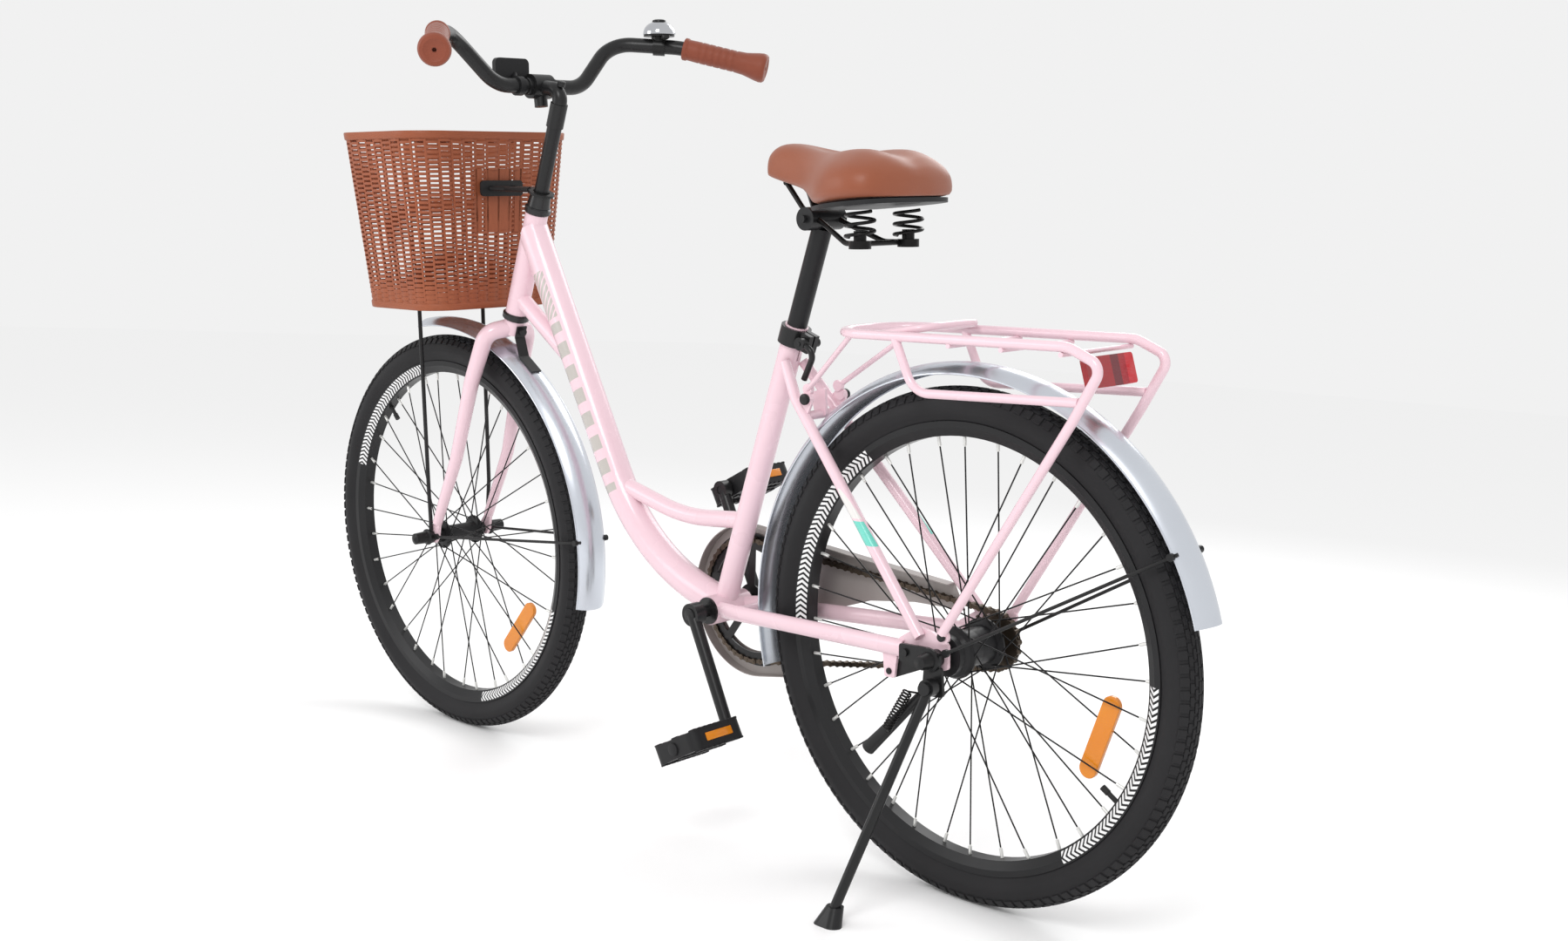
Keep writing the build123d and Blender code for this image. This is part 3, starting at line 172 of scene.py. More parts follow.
def rod(start, end, radius, sides=16, bevel=0.0):
    """A cylinder primitive between two points, with its rims bevelled."""
    start, end = Vector(start), Vector(end)
    alone()
    bpy.ops.mesh.primitive_cylinder_add(vertices=sides, radius=radius, depth=(end - start).length)
    obj = bpy.context.object
    if bevel:
        modifier(obj, "BEVEL", width=bevel, segments=2, limit_method="ANGLE")
    turn_to = (end - start).to_track_quat("Z", "Y").to_matrix().to_4x4()
    obj.data.transform(Matrix.Translation((start + end) / 2) @ turn_to)
    return obj


def stamp(pattern, places, name):
    """Copies one small pattern object to many places, as one mesh."""
    mesh = pattern.data
    shape = np.array([v.co[:] for v in mesh.vertices])
    faces = [list(p.vertices) for p in mesh.polygons]
    points, polygons = [], []
    for place in places:
        offset = len(points)
        turned = shape @ np.array(place.to_3x3()).T + np.array(place.translation)
        points.extend(map(tuple, turned))
        polygons.extend([[offset + v for v in face] for face in faces])
    bpy.data.objects.remove(pattern)
    return mesh_of(name, points, polygons)


def joined(pieces):
    """Joins objects into the first one."""
    alone(pieces[0])
    for piece in pieces[1:]:
        piece.select_set(True)
    if len(pieces) > 1:
        bpy.ops.object.join()
    return pieces[0]


def facing(spot, along, out):
    """A place whose X runs along and whose Z points out."""
    along, out = Vector(along).normalized(), Vector(out).normalized()
    across = out.cross(along).normalized()
    along = across.cross(out)
    turned = Matrix((along, across, out)).transposed().to_4x4()
    return Matrix.Translation(spot) @ turned


def loft(name, rings, caps=True):
    """A skin over closed rings of points, closed at both ends."""
    count = len(rings[0])
    points = [p for ring in rings for p in ring]
    faces = []
    for r in range(len(rings) - 1):
        for i in range(count):
            a, b = r * count + i, r * count + (i + 1) % count
            faces.append((a, b, b + count, a + count))
    if caps:
        last = (len(rings) - 1) * count
        faces.append(tuple(reversed(range(count))))
        faces.append(tuple(last + i for i in range(count)))
    obj = mesh_of(name, points, faces)
    tidy_normals(obj)
    return obj


# %% [markdown]
# ## Finishes
# Every finish is made of nodes: two shades mixed by a soft noise, as real paint, rubber and
# plastic never have quite one colour, a roughness that wanders a little, and a fine bump.


def add_node(mat, kind, **values):
    """Adds a node, setting its properties and then its inputs by name or number."""
    made = mat.node_tree.nodes.new(kind)
    for key, value in values.items():
        if key.startswith("in_"):
            made.inputs[int(key[3:])].default_value = value
        else:
            setattr(made, key, value)
    return made


def join_up(mat, source, target):
    """Links an output to an input."""
    mat.node_tree.links.new(source, target)


def calc(mat, operation, first, second=0.0):
    """A maths node on two numbers or sockets."""
    made = add_node(mat, "ShaderNodeMath", operation=operation)
    for index, value in enumerate((first, second)):
        if isinstance(value, (int, float)):
            made.inputs[index].default_value = value
        else:
            join_up(mat, value, made.inputs[index])
    return made.outputs[0]


def mixed(mat, factor, first, second):
    """Mixes two colours or colour sockets by a factor."""
    made = add_node(mat, "ShaderNodeMix", data_type="RGBA")
    join_up(mat, factor, made.inputs[0])
    for index, value in ((6, first), (7, second)):
        if isinstance(value, tuple):
            made.inputs[index].default_value = (*value, 1)
        else:
            join_up(mat, value, made.inputs[index])
    return made.outputs[2]


def finish(name, slot, light, dark, rough, grain=60.0, depth=0.1, size=0.0002, shine=0.22,
           **shader):
    """A finish with two shades, wandering roughness and a fine grain."""
    mat = bpy.data.materials.new(name)
    mat.use_nodes = True
    look = mat.node_tree.nodes["Principled BSDF"]
    where = add_node(mat, "ShaderNodeTexCoord").outputs["Object"]
    cloudy = add_node(mat, "ShaderNodeTexNoise")
    cloudy.inputs["Scale"].default_value = 9.0
    cloudy.inputs["Detail"].default_value = 4.0
    join_up(mat, where, cloudy.inputs["Vector"])
    join_up(mat, mixed(mat, cloudy.outputs[0], dark, light), look.inputs["Base Color"])
    fine = add_node(mat, "ShaderNodeTexNoise")
    fine.inputs["Scale"].default_value = grain * 10
    fine.inputs["Detail"].default_value = 3.0
    join_up(mat, where, fine.inputs["Vector"])
    spread = add_node(mat, "ShaderNodeMapRange")
    spread.inputs["To Min"].default_value = rough[0]
    spread.inputs["To Max"].default_value = rough[1]
    join_up(mat, cloudy.outputs[0], spread.inputs["Value"])
    join_up(mat, spread.outputs[0], look.inputs["Roughness"])
    bump = add_node(mat, "ShaderNodeBump")
    bump.inputs["Strength"].default_value = depth
    bump.inputs["Distance"].default_value = size
    join_up(mat, fine.outputs[0], bump.inputs["Height"])
    join_up(mat, bump.outputs[0], look.inputs["Normal"])
    look.inputs["Specular IOR Level"].default_value = shine
    for key, value in shader.items():
        look.inputs[key.replace("_", " ")].default_value = value
    return mat


def upright(mat, centre):
    """Sockets X, Y and Z, in millimetres on the upright bicycle, counted from centre."""
    spot = STAND @ Vector(centre)
    back = Matrix.Rotation(LEAN, 3, "X") @ (-spot)
    mapping = add_node(mat, "ShaderNodeMapping", in_1=back, in_2=(LEAN, 0, 0))
    join_up(mat, add_node(mat, "ShaderNodeTexCoord").outputs["Object"], mapping.inputs[0])
    parts = add_node(mat, "ShaderNodeSeparateXYZ")
    join_up(mat, mapping.outputs[0], parts.inputs[0])
    return [calc(mat, "DIVIDE", parts.outputs[i], MM) for i in range(3)]


def between(mat, value, low, high):
    """1 where the value lies between two limits."""
    above = calc(mat, "GREATER_THAN", value, low)
    return calc(mat, "MULTIPLY", above, calc(mat, "LESS_THAN", value, high))


def stencil(mat, mask, colour):
    """Paints a colour over a finish where the mask is 1."""
    colour_input = mat.node_tree.nodes["Principled BSDF"].inputs["Base Color"]
    under = colour_input.links[0].from_socket
    join_up(mat, mixed(mat, mask, under, colour), colour_input)


# %% [markdown]
# The frame is lacquered pale pink, with a clear coat over the colour.  The down tube carries a
# grey graphic of slanting stripes and blocks, and the seat stay a mint block.  Both are stencils:
# sums on the upright coordinates decide where the second colour shows.

# %% Paint
PINK, PINK_SHADE = (0.8, 0.585, 0.645), (0.76, 0.54, 0.6)


def lacquer(name, slot):
    """Pink lacquer under a clear coat."""
    return finish(name, slot, PINK, PINK_SHADE, (0.22, 0.32), 90, 0.04, shine=0.4,
                  Coat_Weight=0.4, Coat_Roughness=0.08)


pink_lacquer = lacquer("pink_lacquer", "pink_paint")

striped_lacquer = lacquer("striped_lacquer", "tube_paint")
TUBE_TOP = (852, 0, 502)
TUBE_WAY = Vector((-0.4604, 0, -0.8877))
STRIPE_STEP, STRIPE_SLANT = 11.0, -1.1
BLOCK_STEP = 38.0
GRAPHIC_GREY = (0.47, 0.44, 0.41)
x, y, z = upright(striped_lacquer, TUBE_TOP)


def weighted(mat, first, first_weight, second, second_weight):
    """A weighted sum of two sockets."""
    one = calc(mat, "MULTIPLY", first, first_weight)
    return calc(mat, "ADD", one, calc(mat, "MULTIPLY", second, second_weight))


def repeating(mat, run, step, share, low, high, along):
    """1 on the first share of every step of run, where along lies between low and high."""
    part = calc(mat, "FRACT", calc(mat, "DIVIDE", run, step))
    return calc(mat, "MULTIPLY", calc(mat, "LESS_THAN", part, share),
                between(mat, along, low, high))


tube_run = weighted(striped_lacquer, x, TUBE_WAY.x, z, TUBE_WAY.z)
tube_front = weighted(striped_lacquer, x, -TUBE_WAY.z, z, TUBE_WAY.x)
slanted = weighted(striped_lacquer, tube_run, 1.0, tube_front, STRIPE_SLANT)
stripes = repeating(striped_lacquer, slanted, STRIPE_STEP, 0.72, 74, 150, tube_run)
blocks = repeating(striped_lacquer, tube_run, BLOCK_STEP, 0.58, 158, 430, tube_run)
graphic = calc(striped_lacquer, "MAXIMUM", stripes, blocks)
graphic = calc(striped_lacquer, "MULTIPLY", graphic, between(striped_lacquer, tube_front, -12, 14))
stencil(striped_lacquer, graphic, GRAPHIC_GREY)

mint_lacquer = lacquer("mint_lacquer", "stay_paint")
STAY_MINT, STAY_GREY = (0.16, 0.6, 0.5), (0.72, 0.7, 0.68)
x, y, z = upright(mint_lacquer, (0, 0, 0))
outer = calc(mint_lacquer, "GREATER_THAN", calc(mint_lacquer, "ABSOLUTE", y), 51.5)
for low, high, colour in ((122, 150, STAY_MINT), (153, 196, STAY_GREY)):
    block_mask = calc(mint_lacquer, "MULTIPLY", outer, between(mint_lacquer, z, low, high))
    stencil(mint_lacquer, block_mask, colour)

# %% [markdown]
# Bright and black metals: the mudguards are polished aluminium, the bell is chromed, and most of
# the fittings are stoved black, which shows soft highlights.  The chain is oily brown steel.

# %% Metals
black_enamel = finish("black_enamel", "black_metal", (0.009, 0.009, 0.01), (0.014, 0.014, 0.014),
                      (0.24, 0.36), 80, 0.06, shine=0.3)
rod_enamel = finish("rod_enamel", "rod_black", (0.014, 0.014, 0.015), (0.02, 0.02, 0.02),
                    (0.3, 0.42), 80, 0.05)
wire_enamel = finish("wire_enamel", "wire_stay", (0.008, 0.008, 0.009), (0.02, 0.02, 0.02),
                     (0.3, 0.4), 80, 0.05)
bearing_enamel = finish("bearing_enamel", "bearing_metal", (0.01, 0.01, 0.011),
                        (0.018, 0.018, 0.018), (0.16, 0.26), 60, 0.03, shine=0.4)
axle_enamel = finish("axle_enamel", "axle_metal", (0.008, 0.008, 0.009), (0.02, 0.02, 0.02),
                     (0.25, 0.38), 60, 0.05)
hub_enamel = finish("hub_enamel", "hub_black", (0.008, 0.008, 0.009), (0.022, 0.022, 0.023),
                    (0.28, 0.42), 60, 0.08)
post_enamel = finish("post_enamel", "post_black", (0.01, 0.01, 0.011), (0.018, 0.018, 0.019),
                     (0.26, 0.36), 90, 0.06)
spring_wire = finish("spring_wire", "spring_steel", (0.01, 0.01, 0.011), (0.02, 0.019, 0.018),
                     (0.22, 0.36), 60, 0.05, Metallic=0.6)
polished_guard = finish("polished_guard", "silver_guard", (0.66, 0.69, 0.74), (0.56, 0.59, 0.65),
                        (0.2, 0.3), 40, 0.02, Metallic=0.85)
chrome_bell = finish("chrome_bell", "bell_chrome", (0.55, 0.56, 0.58), (0.46, 0.47, 0.5),
                     (0.08, 0.14), 20, 0.01, Metallic=1.0)
guard_paint = finish("guard_paint", "guard_grey", (0.4, 0.365, 0.35), (0.33, 0.3, 0.285),
                     (0.3, 0.42), 120, 0.08, shine=0.4, Metallic=0.2)
oily_chain = finish("oily_chain", "chain_steel", (0.13, 0.1, 0.075), (0.055, 0.045, 0.036),
                    (0.28, 0.48), 120, 0.2, Metallic=0.85)

# %% [markdown]
# The rims are black with two opposite arcs of white chevrons.  The spokes are black, each with a
# bright nipple where it meets the rim, so its colour follows the distance from the axle.

# %% Wheel finishes
CHEVRON_AT = {"rear": 27, "front": 47}
CHEVRON_REACH = 0.5
NIPPLE_FROM = 253.0
rim_finish, spoke_finish = {}, {}
for end in AXLE:
    mat = finish(f"{end}_rim_enamel", "rim_black", (0.011, 0.011, 0.012), (0.018, 0.018, 0.019),
                 (0.26, 0.38), 60, 0.05)
    x, y, z = upright(mat, AXLE[end])
    radius = calc(mat, "SQRT",
                  calc(mat, "ADD", calc(mat, "MULTIPLY", x, x), calc(mat, "MULTIPLY", z, z)))
    turn_by = math.radians(CHEVRON_AT[end])
    along_x = calc(mat, "ADD", calc(mat, "MULTIPLY", x, math.cos(turn_by)),
                   calc(mat, "MULTIPLY", z, math.sin(turn_by)))
    along_z = calc(mat, "SUBTRACT", calc(mat, "MULTIPLY", z, math.cos(turn_by)),
                   calc(mat, "MULTIPLY", x, math.sin(turn_by)))
    slope = calc(mat, "ARCTANGENT", calc(mat, "DIVIDE", along_z, along_x))
    in_arc = calc(mat, "LESS_THAN", calc(mat, "ABSOLUTE", slope), CHEVRON_REACH)
    from_middle = calc(mat, "ABSOLUTE", calc(mat, "SUBTRACT", radius, 275.5))
    run = calc(mat, "ADD", calc(mat, "MULTIPLY", slope, 275.0),
               calc(mat, "MULTIPLY", from_middle, 0.8))
    chevron = calc(mat, "GREATER_THAN", calc(mat, "FRACT", calc(mat, "DIVIDE", run, 7.5)), 0.45)
    chevron = calc(mat, "MULTIPLY", chevron, in_arc)
    chevron = calc(mat, "MULTIPLY", chevron, calc(mat, "LESS_THAN", from_middle, 7.2))
    stencil(mat, chevron, (0.8, 0.8, 0.8))
    rim_finish[end] = mat
    mat = finish(f"{end}_spoke_enamel", "spoke_black", (0.008, 0.008, 0.009), (0.02, 0.02, 0.02),
                 (0.25, 0.35), 60, 0.03, Metallic=0.5)
    x, y, z = upright(mat, AXLE[end])
    radius = calc(mat, "SQRT",
                  calc(mat, "ADD", calc(mat, "MULTIPLY", x, x), calc(mat, "MULTIPLY", z, z)))
    stencil(mat, calc(mat, "GREATER_THAN", radius, NIPPLE_FROM), (0.72, 0.72, 0.7))
    spoke_finish[end] = mat

# %% [markdown]
# Rubber, plastics and leatherette.  Tyres are matt and slightly dusty.  The basket and the grips
# are the same warm brown.  The saddle cover has a fine pebbled grain with a satin sheen.

# %% Rubber, plastic and leatherette
tyre_rubber = finish("tyre_rubber_finish", "tyre_rubber", (0.012, 0.0115, 0.0125),
                     (0.018, 0.0175, 0.019), (0.52, 0.7), 40, 0.25, 0.0004)
tube_rubber = finish("tube_rubber_finish", "tube_rubber", (0.015, 0.015, 0.015),
                     (0.022, 0.022, 0.022), (0.5, 0.6), 40, 0.1)
pedal_plastic = finish("pedal_plastic_finish", "pedal_plastic", (0.008, 0.008, 0.009),
                       (0.022, 0.022, 0.023), (0.38, 0.52), 90, 0.2)
shell_plastic = finish("shell_plastic_finish", "saddle_shell", (0.014, 0.014, 0.015),
                       (0.022, 0.022, 0.023), (0.4, 0.52), 90, 0.15)
bell_plastic = finish("bell_plastic_finish", "bell_plastic", (0.01, 0.01, 0.01),
                      (0.016, 0.016, 0.016), (0.22, 0.34), 60, 0.05)
housing_plastic = finish("housing_plastic_finish", "reflector_housing", (0.01, 0.01, 0.011),
                         (0.016, 0.016, 0.017), (0.26, 0.4), 60, 0.08)
basket_plastic = finish("basket_plastic_finish", "basket_plastic", (0.33, 0.098, 0.045),
                        (0.25, 0.07, 0.033), (0.36, 0.5), 50, 0.25, 0.0004)
grip_rubber = finish("grip_rubber_finish", "grip_rubber", (0.26, 0.066, 0.034), (0.2, 0.05, 0.027),
                     (0.42, 0.56), 160, 0.3, 0.0003, Sheen_Weight=0.15)
saddle_cover = finish("saddle_cover_finish", "saddle_cover", (0.29, 0.083, 0.036),
                      (0.235, 0.064, 0.029), (0.38,
                                              0.5), 60, 0.0, 0.0003, shine=0.35, Sheen_Weight=0.1)
pebbles = add_node(saddle_cover, "ShaderNodeTexVoronoi", feature="SMOOTH_F1")
pebbles.inputs["Scale"].default_value = 620.0
join_up(saddle_cover, add_node(saddle_cover, "ShaderNodeTexCoord").outputs["Object"],
        pebbles.inputs["Vector"])
pebble_bump = [n for n in saddle_cover.node_tree.nodes if n.type == "BUMP"][0]
pebble_bump.inputs["Strength"].default_value = 0.35
join_up(saddle_cover, pebbles.outputs["Distance"], pebble_bump.inputs["Height"])


def prism(name, slot, light, dark, scale):
    """A reflector lens: glossy coloured plastic over tiny moulded prisms."""
    mat = finish(name, slot, light, dark, (0.12, 0.2), 40, 0.0, 0.0006, shine=0.4, Coat_Weight=0.35)
    cells = add_node(mat, "ShaderNodeTexVoronoi", distance="CHEBYCHEV")
    cells.inputs["Scale"].default_value = scale
    cells.inputs["Randomness"].default_value = 0.0
    join_up(mat, add_node(mat, "ShaderNodeTexCoord").outputs["Object"], cells.inputs["Vector"])
    bump = [n for n in mat.node_tree.nodes if n.type == "BUMP"][0]
    bump.inputs["Strength"].default_value = 0.6
    join_up(mat, cells.outputs["Distance"], bump.inputs["Height"])
    return mat


amber_lens = prism("amber_lens_finish", "amber_lens", (0.75, 0.27, 0.008), (0.6, 0.16, 0.005), 330)
red_lens = prism("red_lens_finish", "red_lens", (0.36, 0.008, 0.014), (0.26, 0.006, 0.01), 330)
x, y, z = upright(red_lens, (-199, 0, 361))
stencil(red_lens, between(red_lens, y, -17, -1), (0.13, 0.006, 0.012))
stencil(red_lens, calc(red_lens, "LESS_THAN", y, -30), (0.5, 0.02, 0.025))

# %% [markdown]
# Every solid part of the frame that still shows gets its finish here.  Their meshes stay as they
# are: only the material changes.

# %% Finishes on the solid parts
WEARS = {
    pink_lacquer: ["head_tube", "top_tube", "seat_tube", "bottom_bracket_shell", "chainstays",
                   "rear_carrier", "fork"],
    striped_lacquer: ["down_tube"],
    mint_lacquer: ["seatstays"],
    bearing_enamel: ["headset_cups", "bearing_cups", "headset_locknut"],
    black_enamel: ["seat_clamp", "kickstand_bracket", "coaster_brake_arm", "kickstand_leg",
                   "seat_clamp_lever", "crank_spindle", "crank_left", "crank_right", "chainring",
                   "stem", "handlebar"],
    rod_enamel: ["basket_mounts"],
    wire_enamel: ["rear_mudguard_stay", "front_mudguard_stay"],
    polished_guard: ["rear_mudguard", "front_mudguard"],
    red_lens: ["rear_reflector"],
    guard_paint: ["chain_guard"],
    oily_chain: ["chain", "rear_sprocket"],
    axle_enamel: ["rear_axle", "front_axle"],
    hub_enamel: ["rear_hub", "front_hub"],
    post_enamel: ["seatpost"],
    spring_wire: ["kickstand_spring", "saddle_rails", "saddle_springs"],
    shell_plastic: ["saddle_base"],
    saddle_cover: ["saddle_cushion"],
    tyre_rubber: ["rear_tyre", "front_tyre"],
    tube_rubber: ["rear_inner_tube", "front_inner_tube"],
    pedal_plastic: ["pedal_left", "pedal_right"],
    basket_plastic: ["basket"],
    grip_rubber: ["grips"],
    bell_plastic: ["bell_base", "bell_lever"],
    chrome_bell: ["bell_dome"],
    housing_plastic: ["front_reflector"],
    amber_lens: ["rear_wheel_reflector", "front_wheel_reflector"],
    rim_finish["rear"]: ["rear_rim"],
    rim_finish["front"]: ["front_rim"],
    spoke_finish["rear"]: ["rear_spokes"],
    spoke_finish["front"]: ["front_spokes"],
}
for material, names in WEARS.items():
    for name in names:
        node[name].data.materials.clear()
        node[name].data.materials.append(material)
print("finished parts:", sum(len(names) for names in WEARS.values()))

# %% [markdown]
# ## Tyres
# A tyre is a rubber carcass with a tread of separate blocks.  The carcass is an outline spun
# round the axle.  The blocks are one bevelled cube, stamped in rows round the crown and the
# shoulders, which is quick and gives real edges where light catches.

# %% Tyres with tread
SECTION_RING, SECTION = 303.5, 21.9
WALL_RIDGE = 0.5
TREAD_STEPS = 132
CROWN_BLOCK = (13.0, 4.2, 2.6)
INNER_BLOCK = (12.0, 4.4, 2.6)
OUTER_BLOCK = (11.5, 5.2, 2.6)
SHOULDER_BLOCK = (11.0, 10.5, 2.4)
# Each row: its tilt round the section, how far it is staggered, and its block.
TREAD_ROWS = [(0, 0.0, CROWN_BLOCK), (14, 0.5, INNER_BLOCK), (-14, 0.0, INNER_BLOCK),
              (29, 0.0, OUTER_BLOCK), (-29, 0.5, OUTER_BLOCK), (51, 0.5, SHOULDER_BLOCK),
              (-51, 0.0, SHOULDER_BLOCK)]


def tyre(end):
    """The carcass of a tyre with its tread blocks and a moulded line on each wall."""
    centre = AXLE[end]
    outline = [(284.5, 14.0), (287.0, 15.6)]
    for degrees in range(130, -131, -10):
        bulge = SECTION + (WALL_RIDGE if abs(degrees) in (90, 100) else 0.0)
        turn_to = math.radians(degrees)
        outline.append((SECTION_RING + bulge * math.cos(turn_to), bulge * math.sin(turn_to)))
    outline += [(287.0, -15.6), (284.5, -14.0)]
    carcass = turn(outline, centre, (0, 1, 0), steps=120, start=(1, 0, 0))
    rows = [carcass]
    for tilt, phase, size in TREAD_ROWS:
        places = []
        for step in range(TREAD_STEPS):
            degrees = (step + phase) * 360 / TREAD_STEPS
            lean = math.radians(tilt)
            spot = around(centre, SECTION_RING + (SECTION + 0.3) * math.cos(lean), degrees,
                          (SECTION + 0.3) * math.sin(lean))
            radial = around(centre, 1, degrees) - centre
            out = radial * math.cos(lean) + Vector((0, math.sin(lean), 0))
            along = radial.cross(Vector((0, 1, 0)))
            places.append(facing(spot, along, out))
        rows.append(stamp(block(size, 0.7, 1), places, "tread"))
    return settle(joined(rows), f"{end}_tyre_with_tread", f"{end}_wheel", tyre_rubber,
                  [f"{end}_tyre"], 35)


for end in AXLE:
    tyre(end)

# %% [markdown]
# ## Mudguard edges
# A thin mudguard has a rolled edge that stiffens it and hides its raw metal.  Each is a small
# round outline spun through the guard's own arc.

# %% Rolled edges of the mudguards
GUARD_SPAN = {"rear": (-14.0, 165.5), "front": (80.5, 192.0)}
GUARD_EDGE_RADIUS, GUARD_EDGE_ACROSS, BEAD_RADIUS = 343.6, 25.6, 1.3
for end, (first, last) in GUARD_SPAN.items():
    beads = []
    for side in (1, -1):
        ring = [(GUARD_EDGE_RADIUS + BEAD_RADIUS * math.cos(i * math.pi / 4),
                 side * GUARD_EDGE_ACROSS + BEAD_RADIUS * math.sin(i * math.pi / 4))
                for i in range(9)]
        start = around(Vector(), 1, first)
        beads.append(turn(ring, AXLE[end], (0, 1, 0), steps=90, arc=last - first, start=start))
    settle(joined(beads), f"{end}_mudguard_rolled_edges", "frame" if end == "rear" else "steering",
           polished_guard)

# %% [markdown]
# ## Basket
# The basket is moulded plastic that imitates wicker.  Its wall is columns of short arched bars,
# each column half a bar higher than its neighbour, between thin upright ribs, with a smooth band
# round the top.  One bar is shaped and stamped about fifteen hundred times.

# %% Basket outline
BASKET_LOW = {"back": 946, "front": 1138, "half": 124, "corner": 45, "height": 380}
BASKET_TOP = {"back": 930, "front": 1158, "half": 154, "corner": 55, "height": 648}
COLUMNS = 44
PANEL_HALF, PANEL_LOW, PANEL_HIGH = 46.0, 498.0, 590.0


def basket_point(share, height, push=0.0):
    """A point of the basket's wall, a share of the way round from the middle of its back."""
    rise = (height - BASKET_LOW["height"]) / (BASKET_TOP["height"] - BASKET_LOW["height"])
    now = {key: BASKET_LOW[key] + (BASKET_TOP[key] - BASKET_LOW[key]) * rise for key in BASKET_LOW}
    length, width, corner = now["front"] - now["back"], 2 * now["half"], now["corner"]
    straight = [width / 2 - corner, length - 2 * corner, width - 2 * corner, length - 2 * corner,
                width / 2 - corner]
    bend = math.pi * corner / 2
    left = (share % 1.0) * (sum(straight) + 4 * bend)
    spot, heading = Vector((now["back"], 0)), math.pi / 2
    for index, run in enumerate(straight):
        if left <= run or index == 4:
            spot = spot + Vector((math.cos(heading), math.sin(heading))) * left
            break
        spot = spot + Vector((math.cos(heading), math.sin(heading))) * run
        left -= run
        turned = min(left, bend) / corner
        middle = spot + Vector((math.sin(heading), -math.cos(heading))) * corner
        swing = heading - turned
        spot = middle + Vector((-math.sin(swing), math.cos(swing))) * corner
        heading = swing
        if left <= bend:
            break
        left -= bend
    out = Vector((-math.sin(heading), math.cos(heading)))
    return Vector((spot.x + out.x * push, spot.y + out.y * push, height)), out.to_3d()


print("basket back", basket_point(0, 640)[0], "left side", basket_point(0.25, 640)[0])

# %% [markdown]
# A weave could be bent from long strands, but a moulded basket really is a grid of separate short
# bars.  So one bar is shaped in edit mode, and its copies are turned to face out of the wall.
# Near the floor the bars get thicker until they meet, and none is put behind the bracket.

# %% Woven wall
BAR_RISE = 7.2


BAR_THICK, BAR_OVERLAP = 4.1, 1.2
CLOSED_BELOW, CLOSED_EXTRA, CLOSED_OVER = 432, 3.2, 30
BAR_DEPTH, BAR_BULGE, BAR_SET_BACK = 1.7, 2.6, 1.4
RIB_SHARE, RIB_INNER, RIB_OUTER = 0.075, -2.6, 0.2
BASKET_RISE = BASKET_TOP["height"] - BASKET_LOW["height"]


def arched_bar():
    """One bar, a unit long and a unit high, bulging outwards."""
    obj = block((1, 1, 1))
    alone(obj)
    bpy.ops.object.mode_set(mode="EDIT")
    bpy.ops.mesh.select_all(action="SELECT")
    bpy.ops.mesh.subdivide(number_cuts=3)
    bpy.ops.object.mode_set(mode="OBJECT")
    for v in obj.data.vertices:
        bulge = 1 - (2 * v.co.x) ** 2
        round_off = 1 - 0.35 * (2 * v.co.y) ** 2
        v.co.z = v.co.z * BAR_DEPTH * round_off + BAR_BULGE * bulge - BAR_SET_BACK
        v.co.y *= 0.8 + 0.2 * bulge
    alone(obj)
    bpy.ops.object.mode_set(mode="EDIT")
    bpy.ops.mesh.select_all(action="SELECT")
    bpy.ops.mesh.dissolve_limited(angle_limit=0.01)
    bpy.ops.mesh.quads_convert_to_tris()
    bpy.ops.object.mode_set(mode="OBJECT")
    return obj


places = []
for column in range(COLUMNS):
    rows = int((BASKET_RISE - 8) / BAR_RISE)
    for row in range(rows + 1):
        height = BASKET_LOW["height"] + 4 + BAR_RISE * (row + (0.5 if column % 2 else 0.0))
        if height > BASKET_TOP["height"] - 7:
            continue
        spot, out = basket_point((column + 0.5) / COLUMNS, height)
        if abs(spot.y) < PANEL_HALF - 4 and spot.x < 960 and PANEL_LOW < height < PANEL_HIGH:
            continue
        before = basket_point(column / COLUMNS, height)[0]
        after = basket_point((column + 1) / COLUMNS, height)[0]
        middle = (before + after) / 2
        closing = min(1.0, max(0.0, (CLOSED_BELOW - height) / CLOSED_OVER))
        thick = BAR_THICK + CLOSED_EXTRA * closing
        size = Matrix.Diagonal(((after - before).length + BAR_OVERLAP, thick, 1.0, 1.0))
        places.append(facing(middle, after - before, out) @ size)
woven = stamp(arched_bar(), places, "woven")
print("bars:", len(places))

ribs = []
for column in range(COLUMNS):
    rings = []
    for step in range(7):
        height = BASKET_LOW["height"] + (BASKET_RISE - 3) * step / 6
        ring = []
        for share, push in ((-RIB_SHARE, RIB_INNER), (RIB_SHARE, RIB_INNER),
                            (RIB_SHARE, RIB_OUTER), (-RIB_SHARE, RIB_OUTER)):
            ring.append(basket_point((column + share) / COLUMNS, height, push)[0])
        rings.append(ring)
    ribs.append(loft("rib", rings))

# %% [markdown]
# The rim band, the bottom band, the floor slats and the solid panel at the back, where the
# bracket bolts on, finish the basket.

# %% Bands, floor and back panel


def band(low, high, inner, outer):
    """A closed band round the basket between two heights, slightly rounded."""
    rings = []
    for step in range(120):
        share = step / 120
        ring = []
        for push, height in ((inner, low + 1), (inner, high - 1), (inner + 1, high),
                             (outer - 1, high), (outer, high - 1.2), (outer, low + 1.2),
                             (outer - 1, low), (inner + 1, low)):
            ring.append(basket_point(share, height, push)[0])
        rings.append(ring)
    rings.append(rings[0])
    return loft("band", rings, caps=False)


SLAT_THICK = 2.2
floor_slats = []
for index in range(9):
    x = 962 + index * 20
    inset = 16 if index in (0, 8) else 4
    slat = block((13, 2 * BASKET_LOW["half"] - 2 * inset, SLAT_THICK), 0.6, 1)
    slat.location = (x, 0, 384)
    floor_slats.append(slat)
for index in range(11):
    y = -110 + index * 22
    inset = 20 if index in (0, 10) else 3
    slat = block((BASKET_LOW["front"] - BASKET_LOW["back"] - 2 * inset, 12, SLAT_THICK), 0.6, 1)
    slat.location = (1042, y, 382.6)
    floor_slats.append(slat)

